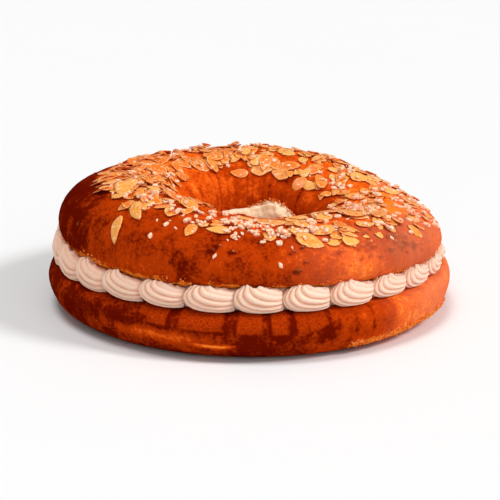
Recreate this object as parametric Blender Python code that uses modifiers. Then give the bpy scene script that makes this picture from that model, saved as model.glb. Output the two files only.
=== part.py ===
"""A roscon de reyes: a ring of sweet bread cut level in two, with piped cream between the halves.

The bottom half rests flat. The top half is tilted a little on the cream, and carries flaked
almonds and nibs of sugar round its crest. Everything is in metres, with +Z up and the centre
of the base at the origin. A bearing is an angle round the ring, from the front (-Y) towards +X.
"""

import math
import random

import bmesh
import bpy
from mathutils import Euler, Matrix, Vector

MM = 0.001

# The bottom half.
OUTER_RADIUS = 150 * MM
HOLE_RADIUS = 45 * MM
BOTTOM_HEIGHT = 34 * MM
BOTTOM_WAIST = 24 * MM  # the height at which the bottom half is widest
FOOT_OUTER = 128 * MM
FOOT_INNER = 58 * MM
BOTTOM_CUT_OUTER = 134 * MM
BOTTOM_CUT_INNER = 51 * MM
SHOULDER = 5 * MM  # how much further its upper edge stands out at the left and the right

# The top half, in its own frame: its cut face is at height zero.
TOP_OUTER = 142.5 * MM
TOP_INNER = 51 * MM
TOP_HEIGHT = 38.5 * MM
TOP_WAIST = 11 * MM
TOP_CREST = 95 * MM  # the radius at which the top half is highest
TOP_CUT_OUTER = 132.5 * MM
TOP_CUT_INNER = 56 * MM
OUTER_FULLNESS = 2.2  # 2 is an ellipse, and more is squarer
INNER_FULLNESS = 1.85
TOP_LIFT = 49.3 * MM  # the height of its cut face over the middle of the hole
TILT_TO_RIGHT = math.radians(2.04)
TILT_TO_BACK = math.radians(0.37)
# How the dough's height swells and sinks round the ring: how many waves, how high, and from where.
# It stands highest at the back and the left, and lowest at the right.
SWELLS = ((1, 0.144, -2.90), (2, 0.091, 1.91), (3, 0.082, -1.15), (4, 0.035, -2.03))
WANDERS = ((3, 0.7 * MM, 1.3), (5, 0.6 * MM, 0.4), (8, 0.4 * MM, 5.0))
# The crust's lower edge sags over the cream at the front left.
SAG = 3.8 * MM
SAG_BEARING = math.radians(-47)
SAG_WIDTH = math.radians(42)
SAG_HEIGHT = 24 * MM  # the height over the cut face at which nothing of it is left

# The cream.
GAP = 0.3 * MM  # between the cream and each half of the bread
SHELL_COUNT = 26
SHELL_START = math.radians(-5.2)  # the bearing where one shell ends and the next begins
SHELL_PITCH = 2 * math.pi / SHELL_COUNT
SHELL_RING = 137 * MM
SHELL_DEPTH = 8.6 * MM  # how far a shell's head stands out from there
SHELL_TUCKED = 7.2 * MM  # how far its flat back lies behind its edges, inside the filling
# The rings across a shell, as shares of its length from head to tail, closest round its tail.
SHELL_STATIONS = (0, 0.18, 0.42, 0.72, 0.93, 1)
SHELL_LOBES = 4
RIDGE_DEPTH = 1.5 * MM
SHELL_SUNK = 0.7 * MM
SHELL_LIFT = -1.8 * MM  # how far a shell's upper edge stands over the cut of the top half
SHELL_MARGIN = 1.2 * MM  # between a shell and each half of the bread
CREAM_OUTER = 132.3 * MM
CREAM_INNER = 49.5 * MM  # just inside the walls of the hole
CREAM_BULGE = 5 * MM  # how far the cream stands into the hole
LUMP_COUNT = 11
LUMP_DEPTH = 2.4 * MM
MOUND_RISE = 15.6 * MM  # how far the cream has welled up the wall of the hole at the back
# The mound's two heaps: the bearing and the width in degrees, the height and how blunt it is.
MOUND_HEAPS = ((158, 26, 1.0, 2.3), (198, 16, 0.5, 2.0))
MOUND_DEPTH = 3.2 * MM
MOUND_BACK = 0.7 * MM  # how far its back leans off the wall

# The toppings.
SEED = 6
FLAKE_COUNT = 58
FLAKE_LENGTH = 17 * MM
FLAKE_WIDTH = 11 * MM
FLAKE_THICKNESS = 1.8 * MM
FLAKE_SPACING = 14 * MM
NIB_COUNT = 56
NIB_RADIUS = 2.1 * MM
NIB_SPACING = 9 * MM
NIB_DISTANCE = 7.5 * MM  # from a nib to the middle of the nearest flake
# Flakes that lie alone: the bearing and the turn in degrees, and the slope that crest_point takes.
LONE_FLAKES = (
    (-42, 0.71, 80),
    (17, 0.48, 35),
    (27, 0.45, 115),
    (60, 0.60, 70),
    (104, -0.50, 100),
    (131, -0.42, 75),
    (143, -0.56, 110),
    (160, -0.52, 20),
    (173, -0.50, 165),
    (-171, -0.55, 10),
)
# Nibs that have rolled down the side, by bearing and slope.
LONE_NIBS = ((-10, 0.76), (8, 0.83), (-30, 0.66), (38, 0.58))

BREAD_STEPS = 60
CREAM_STEPS = 60
WELD = 0.000001  # points this close are one
SHORTEST_EDGE = 0.1 * MM  # shorter edges are merged away after a union
LARGEST_SCRAP = 0.05  # the share of a solid's faces that fusing may drop


def main():
    clear_scene()
    parts = new_collection("roscon_de_reyes")
    make_bottom_bread(parts)
    make_cream_filling(parts)
    make_top_bread(parts)


def clear_scene():
    for obj in list(bpy.data.objects):
        bpy.data.objects.remove(obj, do_unlink=True)


def new_collection(name):
    collection = bpy.data.collections.new(name)
    bpy.context.scene.collection.children.link(collection)
    return collection


def material(name, colour, roughness):
    finish = bpy.data.materials.new(name)
    finish.use_nodes = True
    shader = finish.node_tree.nodes["Principled BSDF"]
    shader.inputs["Base Color"].default_value = (*colour, 1)
    shader.inputs["Roughness"].default_value = roughness
    shader.inputs["Metallic"].default_value = 0
    return finish


# Outlines and turned rings.


def arc(centre, reach, start, end, fullness=2.0, steps=4):
    """Points of a quarter of a squared ellipse, from one angle in degrees to the other."""
    points = []
    for step in range(steps + 1):
        angle = math.radians(start + (end - start) * step / steps)
        across = math.cos(angle)
        up = math.sin(angle)
        points.append(
            (
                centre[0] + reach[0] * math.copysign(abs(across) ** (2 / fullness), across),
                centre[1] + reach[1] * math.copysign(abs(up) ** (2 / fullness), up),
            )
        )
    return points


def joined(*stretches):
    """One closed outline from stretches that share their end points."""
    outline = []
    for stretch in stretches:
        for point in stretch:
            if not outline or math.dist(point, outline[-1]) > WELD:
                outline.append(point)
    if math.dist(outline[0], outline[-1]) < WELD:
        outline.pop()
    return outline


def bake(obj):
    """Puts the shape that the modifiers or the curve give into the object as a plain mesh."""
    bpy.context.view_layer.update()
    graph = bpy.context.evaluated_depsgraph_get()
    shape = bpy.data.meshes.new_from_object(obj.evaluated_get(graph))
    obj.modifiers.clear()
    obj.data = shape


def turned_ring(name, outline, steps, collection, reshape):
    """A closed outline turned round the Z axis, each point of the ring then moved by reshape."""
    shape = bpy.data.meshes.new(name)
    builder = bmesh.new()
    corners = [builder.verts.new((radius, 0, height)) for radius, height in outline]
    for first, second in zip(corners, corners[1:] + corners[:1]):
        builder.edges.new((first, second))
    builder.to_mesh(shape)
    builder.free()
    ring = bpy.data.objects.new(name, shape)
    collection.objects.link(ring)
    turn = ring.modifiers.new("turn", "SCREW")
    turn.steps = steps
    turn.render_steps = steps
    turn.use_merge_vertices = True
    turn.merge_threshold = 0.0001
    bake(ring)
    for vertex in ring.data.vertices:
        vertex.co = reshape(vertex.co)
    return ring


def bearing_of(point):
    return math.atan2(point.x, -point.y)


def at_bearing(bearing, radius, height):
    return Vector((radius * math.sin(bearing), -radius * math.cos(bearing), height))


def wave(bearing, *terms):
    """A sum of waves round the ring, each given as how many, how high and where it starts."""
    return sum(high * math.sin(count * bearing + start) for count, high, start in terms)


# The bread.


def bottom_outline():
    return joined(
        arc(
            (BOTTOM_CUT_OUTER, BOTTOM_WAIST),
            (OUTER_RADIUS - BOTTOM_CUT_OUTER, BOTTOM_HEIGHT - BOTTOM_WAIST),
            90,
            0,
            steps=3,
        ),
        arc((FOOT_OUTER, BOTTOM_WAIST), (OUTER_RADIUS - FOOT_OUTER, BOTTOM_WAIST), 0, -90, steps=4),
        arc((FOOT_INNER, BOTTOM_WAIST), (FOOT_INNER - HOLE_RADIUS, BOTTOM_WAIST), 270, 180, steps=3),
        arc(
            (BOTTOM_CUT_INNER, BOTTOM_WAIST),
            (BOTTOM_CUT_INNER - HOLE_RADIUS, BOTTOM_HEIGHT - BOTTOM_WAIST),
            180,
            90,
            steps=2,
        ),
    )


def shoulder(bearing):
    return SHOULDER * math.sin(bearing) ** 4


def swollen_bottom(point):
    """The side wanders in and out a little between the flat base and the flat cut."""
    bearing = bearing_of(point)
    radius = math.hypot(point.x, point.y)
    bulge = math.sin(math.pi * min(1, point.z / BOTTOM_HEIGHT)) ** 2
    side = (radius - TOP_CREST) / (OUTER_RADIUS - TOP_CREST)
    wander = wave(bearing, (3, 0.5 * MM, 0.6), (5, 0.4 * MM, 2.1), (9, 0.3 * MM, 4.0))
    moved = bulge * side * wander
    if radius > TOP_CREST:
        above_waist = max(0, (point.z - BOTTOM_WAIST) / (BOTTOM_HEIGHT - BOTTOM_WAIST))
        moved += shoulder(bearing) * above_waist**2
    return at_bearing(bearing, radius + moved, point.z)


def make_bottom_bread(parts):
    bread = turned_ring("bottom_bread", bottom_outline(), BREAD_STEPS, parts, swollen_bottom)
    bread.data.materials.append(material("baked_base", (0.30, 0.07, 0.015), 0.45))
    finish(bread)


def top_outline():
    crest = (TOP_CREST, TOP_WAIST)
    rise = TOP_HEIGHT - TOP_WAIST
    return joined(
        arc(crest, (TOP_OUTER - TOP_CREST, rise), 90, 0, OUTER_FULLNESS, 6),
        arc((TOP_CUT_OUTER, TOP_WAIST), (TOP_OUTER - TOP_CUT_OUTER, TOP_WAIST), 0, -90, steps=2),
        arc((TOP_CUT_INNER, TOP_WAIST), (TOP_CUT_INNER - TOP_INNER, TOP_WAIST), 270, 180, steps=2),
        arc(crest, (TOP_CREST - TOP_INNER, rise), 180, 90, INNER_FULLNESS, 5),
    )


def crust(bearing, radius, height):
    """A point of the tilted top half from its place in the even ring, with the dough's swells."""
    above_waist = max(0, (height - TOP_WAIST) / (TOP_HEIGHT - TOP_WAIST))
    side = max(0, (radius - TOP_CREST) / (TOP_OUTER - TOP_CREST))
    outward = side * above_waist * wave(bearing, *WANDERS)
    sagged = sag(bearing, radius) * max(0, 1 - height / SAG_HEIGHT)
    return tilted(at_bearing(bearing, radius + outward, height * swell(bearing) - sagged))


def swell(bearing):
    return 1 + wave(bearing, *SWELLS)


def sag(bearing, radius):
    """How far the cut face hangs down: most at its outer edge, and not at all at the hole."""
    beside = math.remainder(bearing - SAG_BEARING, 2 * math.pi) / SAG_WIDTH
    share = (radius - TOP_CUT_INNER) / (TOP_CUT_OUTER - TOP_CUT_INNER)
    return SAG * math.exp(-(beside**4)) * min(1, max(0, share))


def tilted(point):
    return top_frame() @ point


def top_frame():
    tilt = Euler((-TILT_TO_BACK, TILT_TO_RIGHT, 0)).to_matrix().to_4x4()
    return Matrix.Translation((0, 0, TOP_LIFT)) @ tilt


def make_top_bread(parts):
    bread = turned_ring(
        "top_bread",
        top_outline(),
        BREAD_STEPS,
        parts,
        lambda point: crust(bearing_of(point), math.hypot(point.x, point.y), point.z),
    )
    bread.data.materials.append(material("glazed_crust", (0.42, 0.12, 0.02), 0.32))
    toppings = new_collection("toppings")
    make_flakes(toppings)
    make_nibs(toppings)
    fuse(bread, toppings)
    finish(bread)


# The toppings.


def crest_point(bearing, slope):
    """A point of the crust. The slope is -1 at the hole's wall, 0 at the crest and 1 at the side."""
    if slope > 0:
        reach = TOP_OUTER - TOP_CREST
        fullness = OUTER_FULLNESS
    else:
        reach = TOP_CREST - TOP_INNER
        fullness = INNER_FULLNESS
    angle = abs(slope) * math.pi / 2
    across = math.copysign(math.sin(angle) ** (2 / fullness), slope)
    up = math.cos(angle) ** (2 / fullness)
    height = TOP_WAIST + (TOP_HEIGHT - TOP_WAIST) * up
    return crust(bearing, TOP_CREST + reach * across, height)


def lying_frame(bearing, slope, turn, sink):
    """A frame on the crust with Z along its normal, turned about it and set down into it."""
    step = 0.02
    point = crest_point(bearing, slope)
    along = crest_point(bearing + step, slope) - crest_point(bearing - step, slope)
    down = crest_point(bearing, min(1, slope + step)) - crest_point(bearing, max(-1, slope - step))
    up = down.cross(along).normalized()
    if up.z < 0:
        up = -up
    side = along.normalized()
    axes = Matrix((side, up.cross(side), up)).transposed().to_4x4()
    return Matrix.Translation(point - up * sink) @ axes @ Matrix.Rotation(turn, 4, "Z")


def is_topped(bearing, slope):
    """Whether a place is in the band of toppings, which is narrowest at the left."""
    leftness = math.exp(-(((math.degrees(bearing) + 95) / 35) ** 2))
    outer_edge = 0.52 + 0.08 * math.sin(bearing) - 0.25 * leftness
    inner_edge = -0.47 - 0.08 * math.sin(3 * bearing + 1)
    return inner_edge < slope < outer_edge


def scattered(rng, count, spacing, taken=(), distance=0.0):
    """Places in the band of toppings, at random and evenly: at least the spacing apart.

    They also keep a distance from the places that are taken.
    """
    others = [crest_point(*place) for place in taken]
    places = []
    points = []
    while len(places) < count:
        bearing = rng.uniform(-math.pi, math.pi)
        slope = rng.uniform(-0.6, 0.65)
        if not is_topped(bearing, slope):
            continue
        point = crest_point(bearing, slope)
        if any((point - other).length < spacing for other in points):
            continue
        if any((point - other).length < distance for other in others):
            continue
        places.append((bearing, slope))
        points.append(point)
    return places


def flake_places():
    """Each flake's bearing, slope and turn, those that lie alone first."""
    rng = random.Random(SEED)
    alone = [(math.radians(bearing), slope) for bearing, slope, _ in LONE_FLAKES]
    turns = [math.radians(turn) for _, _, turn in LONE_FLAKES]
    strewn = scattered(rng, FLAKE_COUNT - len(alone), FLAKE_SPACING, alone, FLAKE_SPACING)
    turns += [rng.uniform(0, math.pi) for _ in strewn]
    return [(*place, turn) for place, turn in zip(alone + strewn, turns)]


def make_flakes(collection):
    rng = random.Random(SEED + 1)
    for index, (bearing, slope, turn) in enumerate(flake_places()):
        size = rng.uniform(0.88, 1.1)
        lean = Euler((math.radians(rng.uniform(-6, 6)), math.radians(rng.uniform(-6, 6)), 0))
        frame = lying_frame(bearing, slope, turn, -0.1 * FLAKE_THICKNESS)
        bpy.ops.mesh.primitive_cylinder_add(vertices=8, radius=1, depth=1)
        flake = bpy.context.object
        flake.name = f"flake_{index}"
        for vertex in flake.data.vertices:
            taper = 1 - 0.28 * vertex.co.x
            vertex.co.x *= size * FLAKE_LENGTH / 2
            vertex.co.y *= size * taper * FLAKE_WIDTH / 2
            vertex.co.z *= FLAKE_THICKNESS
        place(flake, frame @ lean.to_matrix().to_4x4(), collection)


def make_nibs(collection):
    rng = random.Random(SEED + 2)
    flakes = [(bearing, slope) for bearing, slope, _ in flake_places()]
    places = [(math.radians(bearing), slope) for bearing, slope in LONE_NIBS]
    places += scattered(rng, NIB_COUNT - len(places), NIB_SPACING, flakes, NIB_DISTANCE)
    for index, (bearing, slope) in enumerate(places):
        size = rng.uniform(0.85, 1.25)
        frame = lying_frame(bearing, slope, rng.uniform(0, math.pi), -0.45 * NIB_RADIUS)
        bpy.ops.mesh.primitive_ico_sphere_add(subdivisions=1, radius=NIB_RADIUS)
        nib = bpy.context.object
        nib.name = f"nib_{index}"
        stretch = Matrix.Diagonal((1.25 * size, 0.9 * size, 0.9, 1))
        place(nib, frame @ stretch, collection)


def place(piece, frame, collection):
    piece.data.transform(frame)
    for holder in list(piece.users_collection):
        holder.objects.unlink(piece)
    collection.objects.link(piece)


# The cream.


def lower_bread(bearing, radius):
    """The height of the bottom half's upper face over a place, with its rounded shoulder."""
    reach = OUTER_RADIUS - BOTTOM_CUT_OUTER
    pushed = shoulder(bearing)
    over = radius - BOTTOM_CUT_OUTER - pushed
    across = 2 * over / (reach + math.sqrt(reach * reach - 4 * pushed * over))
    up = math.sqrt(1 - min(1, max(0, across)) ** 2)
    return BOTTOM_WAIST + (BOTTOM_HEIGHT - BOTTOM_WAIST) * up


def cut_height(bearing, radius):
    """The height of the top half's tilted and sagging cut face over a place."""
    frame = top_frame()
    normal = frame.to_3x3() @ Vector((0, 0, 1))
    place_at = at_bearing(bearing, radius, 0)
    flat = TOP_LIFT - (normal.x * place_at.x + normal.y * place_at.y) / normal.z
    return flat - sag(bearing, radius)


def upper_bread(bearing, radius):
    """The height of the top half's lower face over a place, with its rounded outer edge."""
    over = (radius - TOP_CUT_OUTER) / (TOP_OUTER - TOP_CUT_OUTER)
    curl = 0
    if over > 0:
        curl = TOP_WAIST * swell(bearing) * (1 - math.sqrt(max(0, 1 - over * over)))
    return cut_height(bearing, radius) + curl


def cream_outline():
    """The section of the filling, its heights as shares of the gap between the halves."""
    return [
        (CREAM_OUTER, 1),
        (CREAM_OUTER, 0),
        (BOTTOM_CUT_INNER, 0),
        (CREAM_INNER - 0.9 * CREAM_BULGE, 0.25),
        (CREAM_INNER - CREAM_BULGE, 0.6),
        (CREAM_INNER - 0.55 * CREAM_BULGE, 0.92),
        (CREAM_INNER - MOUND_BACK, 1.0),
        (CREAM_INNER, 1.0),
    ]


def mound(bearing):
    """How much of its full height the mound has at a bearing."""
    height = 0
    for middle, width, share, bluntness in MOUND_HEAPS:
        beside = math.remainder(bearing - math.radians(middle), 2 * math.pi)
        height += share * math.exp(-(abs(beside / math.radians(width)) ** bluntness))
    return height


def filled_gap(point):
    """Maps the section's share of height to the real gap, and adds the lumps inside the hole."""
    bearing = bearing_of(point)
    radius = math.hypot(point.x, point.y)
    share = point.z
    welled = mound(bearing)
    inside = min(1, max(0, (CREAM_INNER - radius) / CREAM_BULGE))
    raised = min(1, max(0, (CREAM_INNER - radius) / MOUND_BACK))
    lump = abs(math.sin(0.5 * LUMP_COUNT * bearing + 0.35 * math.sin(2 * bearing)))
    radius += inside * (LUMP_DEPTH * (1 - lump) - MOUND_DEPTH * welled)
    low = BOTTOM_HEIGHT + GAP
    high = cut_height(bearing, radius) - GAP
    height = low + share * (high - low)
    height += raised * share * share * welled * MOUND_RISE
    return at_bearing(bearing, radius, height)


# The lowest and the uppermost ridge of a shell, as the four points that bend each one: first
# across the shell, as a part of its width, and then up it, from -1 near its foot to 1 at its top.
LOWEST_RIDGE = ((-0.30, 1.06), (-0.76, -0.10), (-0.36, -1.42), (0.55, -0.84))
UPPERMOST_RIDGE = ((0.02, 1.30), (0.10, 1.10), (0.30, 0.98), (0.55, 0.74))
SHELL_FOOT = -0.92
SHELL_HEIGHT = 1.92


def bent(share, ridge):
    """The place along a bent ridge, from 0 at the top of the shell's head to 1 at its tail."""
    start, first, second, end = (Vector(corner) for corner in ridge)
    rest = 1 - share
    point = rest**3 * start + 3 * rest * rest * share * first
    return point + 3 * rest * share * share * second + share**3 * end


def shell_depth(share):
    """How far a shell stands out along its ridges: fullest in its head, and round at its tail."""
    head = 0.66 + 0.34 * math.sin(0.5 * math.pi * min(1, share / 0.5))
    slimmer = 1 - 0.12 * min(1, max(0, (share - 0.5) / 0.45))
    ending = max(0, (share - 0.84) / 0.16)
    return SHELL_DEPTH * head * slimmer * (0.25 + 0.75 * math.sqrt(max(0, 1 - ending * ending)))


def shell_ring(share):
    """One ring across a shell's ridges, each point given across, outwards and up."""
    lowest = bent(share, LOWEST_RIDGE)
    uppermost = bent(share, UPPERMOST_RIDGE)
    depth = shell_depth(share)
    ring = []
    for step in range(2 * SHELL_LOBES + 1):
        angle = math.pi * (step / (2 * SHELL_LOBES)) ** 1.12
        flat = lowest.lerp(uppermost, 0.5 - 0.5 * math.cos(angle))
        groove = RIDGE_DEPTH * (step % 2) * (0.45 + 0.55 * depth / SHELL_DEPTH)
        out = depth * math.sin(angle) ** 0.8 - groove * math.sin(angle)
        ring.append(Vector((flat.x, out, flat.y)))
    ring.append(ring[-1] - Vector((0, SHELL_TUCKED, 0)))
    ring.append(ring[0] - Vector((0, SHELL_TUCKED, 0)))
    return ring


def make_shell():
    """One piped shell about its own middle: X along the ring, Y outwards and Z up."""
    mesh = bpy.data.meshes.new("shell")
    builder = bmesh.new()
    rings = []
    for share in SHELL_STATIONS:
        rings.append([builder.verts.new(point) for point in shell_ring(share)])
    for ring, following in zip(rings, rings[1:]):
        beyond = ring[1:] + ring[:1]
        following_beyond = following[1:] + following[:1]
        for corners in zip(ring, beyond, following_beyond, following):
            builder.faces.new(corners)
    for ring in (rings[0], rings[-1]):
        middle = sum((vertex.co for vertex in ring), Vector()) / len(ring)
        centre = builder.verts.new(middle)
        for first, second in zip(ring, ring[1:] + ring[:1]):
            builder.faces.new((first, second, centre))
    bmesh.ops.recalc_face_normals(builder, faces=builder.faces)
    builder.to_mesh(mesh)
    builder.free()
    return mesh


def near(bearing, degrees, width):
    """1 at a bearing given in degrees, falling away on either side of it."""
    return math.exp(-(((math.degrees(bearing) - degrees) / width) ** 2))


def piped(point, middle):
    """A point of a shell laid along the ring and pressed between the halves.

    The shells at the far left are fuller, and hang lower over the bottom half's shoulder.
    """
    bearing = middle + point.x * SHELL_PITCH
    radius = SHELL_RING + point.y * (1 + 0.2 * near(middle, -85, 25))
    hang = (3.5 * near(middle, -75, 28) - near(middle, -32, 12)) * MM
    foot = lower_bread(bearing, SHELL_RING) - SHELL_SUNK - hang
    top = cut_height(bearing, SHELL_RING) + SHELL_LIFT
    height = foot + (top - foot) * (point.z - SHELL_FOOT) / SHELL_HEIGHT
    low = lower_bread(bearing, radius) + SHELL_MARGIN
    high = upper_bread(bearing, radius) - SHELL_MARGIN
    room = 0.5 * (high - low)
    share = (height - 0.5 * (low + high)) / room
    share /= (1 + share**8) ** (1 / 8)  # levels off softly towards either half
    return at_bearing(bearing, radius, 0.5 * (low + high) + share * room)


def make_cream_filling(parts):
    cream = turned_ring("cream_filling", cream_outline(), CREAM_STEPS, parts, filled_gap)
    cream.data.materials.append(material("piped_cream", (0.85, 0.68, 0.52), 0.4))
    shell = make_shell()
    shells = new_collection("shells")
    for index in range(SHELL_COUNT):
        middle = math.remainder(SHELL_START + (index + 0.5) * SHELL_PITCH, 2 * math.pi)
        mesh = shell.copy()
        for vertex in mesh.vertices:
            vertex.co = piped(vertex.co, middle)
        shells.objects.link(bpy.data.objects.new(f"shell_{index}", mesh))
    fuse(cream, shells)
    finish(cream)


# Fusing and finishing.


def fuse(body, pieces):
    """Joins every piece of a collection to the body, and removes the pieces."""
    union = body.modifiers.new("fuse", "BOOLEAN")
    union.operation = "UNION"
    union.operand_type = "COLLECTION"
    union.collection = pieces
    union.solver = "EXACT"
    bake(body)
    for piece in list(pieces.objects):
        bpy.data.objects.remove(piece)
    bpy.data.collections.remove(pieces)
    keep_one_skin(body.data)


def keep_one_skin(mesh):
    """Drops loose scraps and fills sealed hollows: only the largest connected skin stays."""
    builder = bmesh.new()
    builder.from_mesh(mesh)
    bmesh.ops.remove_doubles(builder, verts=builder.verts, dist=WELD)
    bmesh.ops.dissolve_degenerate(builder, edges=builder.edges, dist=SHORTEST_EDGE)
    bmesh.ops.triangulate(builder, faces=builder.faces)
    waiting = set(builder.faces)
    skins = []
    while waiting:
        reached = [waiting.pop()]
        skin = []
        while reached:
            face = reached.pop()
            skin.append(face)
            for edge in face.edges:
                for other in edge.link_faces:
                    if other in waiting:
                        waiting.remove(other)
                        reached.append(other)
        skins.append(skin)
    skins.sort(key=len)
    scraps = [face for skin in skins[:-1] for face in skin]
    if len(scraps) > LARGEST_SCRAP * len(skins[-1]):
        raise RuntimeError(f"{mesh.name}: its pieces don't all meet")
    bmesh.ops.delete(builder, geom=scraps, context="FACES")
    builder.to_mesh(mesh)
    builder.free()


def finish(obj):
    """Round faces are shaded smooth, with a break at the cut edges."""
    builder = bmesh.new()
    builder.from_mesh(obj.data)
    bmesh.ops.recalc_face_normals(builder, faces=builder.faces)
    builder.to_mesh(obj.data)
    builder.free()
    obj.data.shade_smooth()
    obj.data.set_sharp_from_angle(angle=math.radians(50))


main()
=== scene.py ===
"""The looks of a roscon de reyes, a cut and filled ring of sweet bread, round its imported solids.

Each operator of this add-on builds one piece of the ring, its toppings together, or the stage
that it stands on. All sizes are in metres, with +Z up. A bearing is an angle round the ring, from
the front (-Y) towards +X. The fall is the distance over the top half's crust from its crest,
positive outwards. The slope is the same as a share: -1 at the hole's wall, 0 on the crest and 1
at the outer side.
"""

import itertools
import math
import random

import bmesh
import bpy
import numpy as np
from bpy.props import FloatProperty, FloatVectorProperty, IntProperty, PointerProperty
from bpy.types import Operator, Panel, PropertyGroup
from mathutils import Euler, Matrix, Vector


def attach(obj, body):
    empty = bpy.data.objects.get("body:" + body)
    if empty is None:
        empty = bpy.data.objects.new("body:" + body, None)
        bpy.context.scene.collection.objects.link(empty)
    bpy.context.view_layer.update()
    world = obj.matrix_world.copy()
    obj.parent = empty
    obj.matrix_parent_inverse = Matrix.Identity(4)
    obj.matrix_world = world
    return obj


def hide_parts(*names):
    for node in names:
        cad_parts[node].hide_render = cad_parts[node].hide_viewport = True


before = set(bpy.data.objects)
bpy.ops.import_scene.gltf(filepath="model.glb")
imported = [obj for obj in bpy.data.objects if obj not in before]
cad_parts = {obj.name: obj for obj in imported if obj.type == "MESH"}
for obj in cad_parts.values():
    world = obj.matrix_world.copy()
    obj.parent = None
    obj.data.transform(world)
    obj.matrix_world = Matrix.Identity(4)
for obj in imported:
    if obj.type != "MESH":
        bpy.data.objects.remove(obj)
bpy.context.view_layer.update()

bl_info = {
    "name": "Filled Ring Cake",
    "version": (1, 0, 0),
    "blender": (4, 5, 0),
    "location": "3D View > Sidebar > Ring Cake",
    "description": "Builds a glazed ring of bread with piped cream, flaked almonds and sugar nibs",
    "category": "Add Mesh",
}

MM = 0.001

# The bottom half, as the solid has it.
OUTER_RADIUS = 150 * MM
HOLE_RADIUS = 45 * MM
BOTTOM_HEIGHT = 34 * MM
BOTTOM_WAIST = 24 * MM
FOOT_OUTER = 128 * MM
FOOT_INNER = 58 * MM
BOTTOM_CUT_OUTER = 134 * MM
BOTTOM_CUT_INNER = 51 * MM
SHOULDER = 5 * MM  # how much further its upper edge stands out at the left and the right
BOTTOM_WANDERS = ((3, 0.5 * MM, 0.6), (5, 0.4 * MM, 2.1), (9, 0.3 * MM, 4.0))

# The top half, in its own frame: its cut face is at height zero.
TOP_OUTER = 142.5 * MM
TOP_INNER = 51 * MM
TOP_HEIGHT = 38.5 * MM
TOP_WAIST = 11 * MM
TOP_CREST = 95 * MM
TOP_CUT_OUTER = 132.5 * MM
TOP_CUT_INNER = 56 * MM
OUTER_FULLNESS = 2.2
INNER_FULLNESS = 1.85
TOP_LIFT = 49.3 * MM
TILT_TO_RIGHT = math.radians(2.04)
TILT_TO_BACK = math.radians(0.37)
SWELLS = ((1, 0.144, -2.90), (2, 0.091, 1.91), (3, 0.082, -1.15), (4, 0.035, -2.03))
WANDERS = ((3, 0.7 * MM, 1.3), (5, 0.6 * MM, 0.4), (8, 0.4 * MM, 5.0))
# The crust's lower edge sags over the cream at the front left.
SAG = 3.8 * MM
SAG_BEARING = math.radians(-47)
SAG_WIDTH = math.radians(42)
SAG_HEIGHT = 24 * MM

# The cream.
GAP = 0.3 * MM  # between the filling's body and each half of the bread
SHELL_COUNT = 26
SHELL_START = math.radians(-5.2)  # the bearing where one shell ends and the next begins
SHELL_PITCH = 2 * math.pi / SHELL_COUNT
SHELL_RING = 137 * MM
SHELL_DEPTH = 8.6 * MM  # how far a shell's head stands out from there
SHELL_SUNK = 0.7 * MM  # how far a shell presses into each half of the bread
SHELL_LIFT = 2.2 * MM  # how far a shell's upper edge stands over the cut of the top half
SHELL_TUCKED = 3.6 * MM  # how far its back lies behind its edges
CREAM_OUTER = 134.5 * MM
CREAM_INNER = 49.5 * MM  # just inside the walls of the hole
CREAM_BULGE = 5 * MM  # how far the cream stands into the hole
LUMP_COUNT = 11
LUMP_DEPTH = 2.4 * MM
MOUND_RISE = 15.6 * MM  # how far the cream has welled up the wall of the hole at the back
# The mound's two heaps: the bearing and the width in degrees, the height and how blunt it is.
MOUND_HEAPS = ((158, 26, 1.0, 2.3), (198, 16, 0.40, 2.0))
MOUND_DEPTH = 3.2 * MM
MOUND_BACK = 0.7 * MM  # how far its back leans off the wall

# The toppings: the same places as on the solid come first.
SEED = 6
SOLID_FLAKES = 58
SOLID_FLAKE_SPACING = 14 * MM
SOLID_NIBS = 56
SOLID_NIB_SPACING = 9 * MM
SOLID_NIB_DISTANCE = 7.5 * MM
# Flakes that lie alone on the crust: bearing and turn in degrees, with the slope between them.
LONE_FLAKES = (
    (-42, 0.71, 80),
    (17, 0.48, 35),
    (27, 0.45, 115),
    (60, 0.60, 70),
    (104, -0.50, 100),
    (131, -0.42, 75),
    (143, -0.56, 110),
    (160, -0.52, 20),
    (173, -0.50, 165),
    (-171, -0.55, 10),
)
# Flakes that lie on the others by the near rim: bearing, slope, turn and how large each is.
UPPER_FLAKES = (
    (8, 0.04, 2, 1.45),
    (19, 0.16, 160, 1.15),
    (24, 0.30, 165, 1.25),
    (30, 0.04, 165, 1.3),
    (17.6, 0.47, 30, 1.65),
    (-38, -0.06, 10, 1.2),
    (-27, 0.02, 170, 1.1),
    (44, 0.10, 20, 1.1),
    (52, 0.22, 150, 1.1),
)
# Nibs that lie alone on the crust: bearing in degrees, and slope.
LONE_NIBS = ((-10, 0.76), (8, 0.83), (-30, 0.66), (38, 0.58))
NIB_HEAP = 1.4 * MM  # how much higher than the flakes the nibs may pile up

# How fine the meshes are.
QUARTER_STEPS = 300
BREAD_STEPS = 720
CRUST_ROWS = 128
FACE_ROWS = 10
CUT_POINTS = 22
SIDE_POINTS = 64
BASE_POINTS = 16
WALL_POINTS = 36
SHELL_RINGS = 34
RIDGE_POINTS = 10
BACK_STRIDE = 12  # a shell's back follows one in so many of its front's points
CORE_STEPS = 420
FLAKE_SPOKES = 22

# Noise: cubes of random values, one for each seed.
LATTICE = 32
LATTICES = np.random.default_rng(11).uniform(-1, 1, (12, LATTICE, LATTICE, LATTICE))


# Properties.


def length(name, description, default):
    return FloatProperty(name=name, description=description, default=default, min=0, unit="LENGTH")


def count(name, description, default):
    return IntProperty(name=name, description=description, default=default, min=0)


def colour(name, description, default):
    return FloatVectorProperty(
        name=name,
        description=description,
        default=default,
        min=0,
        max=1,
        size=3,
        subtype="COLOR",
    )


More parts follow.
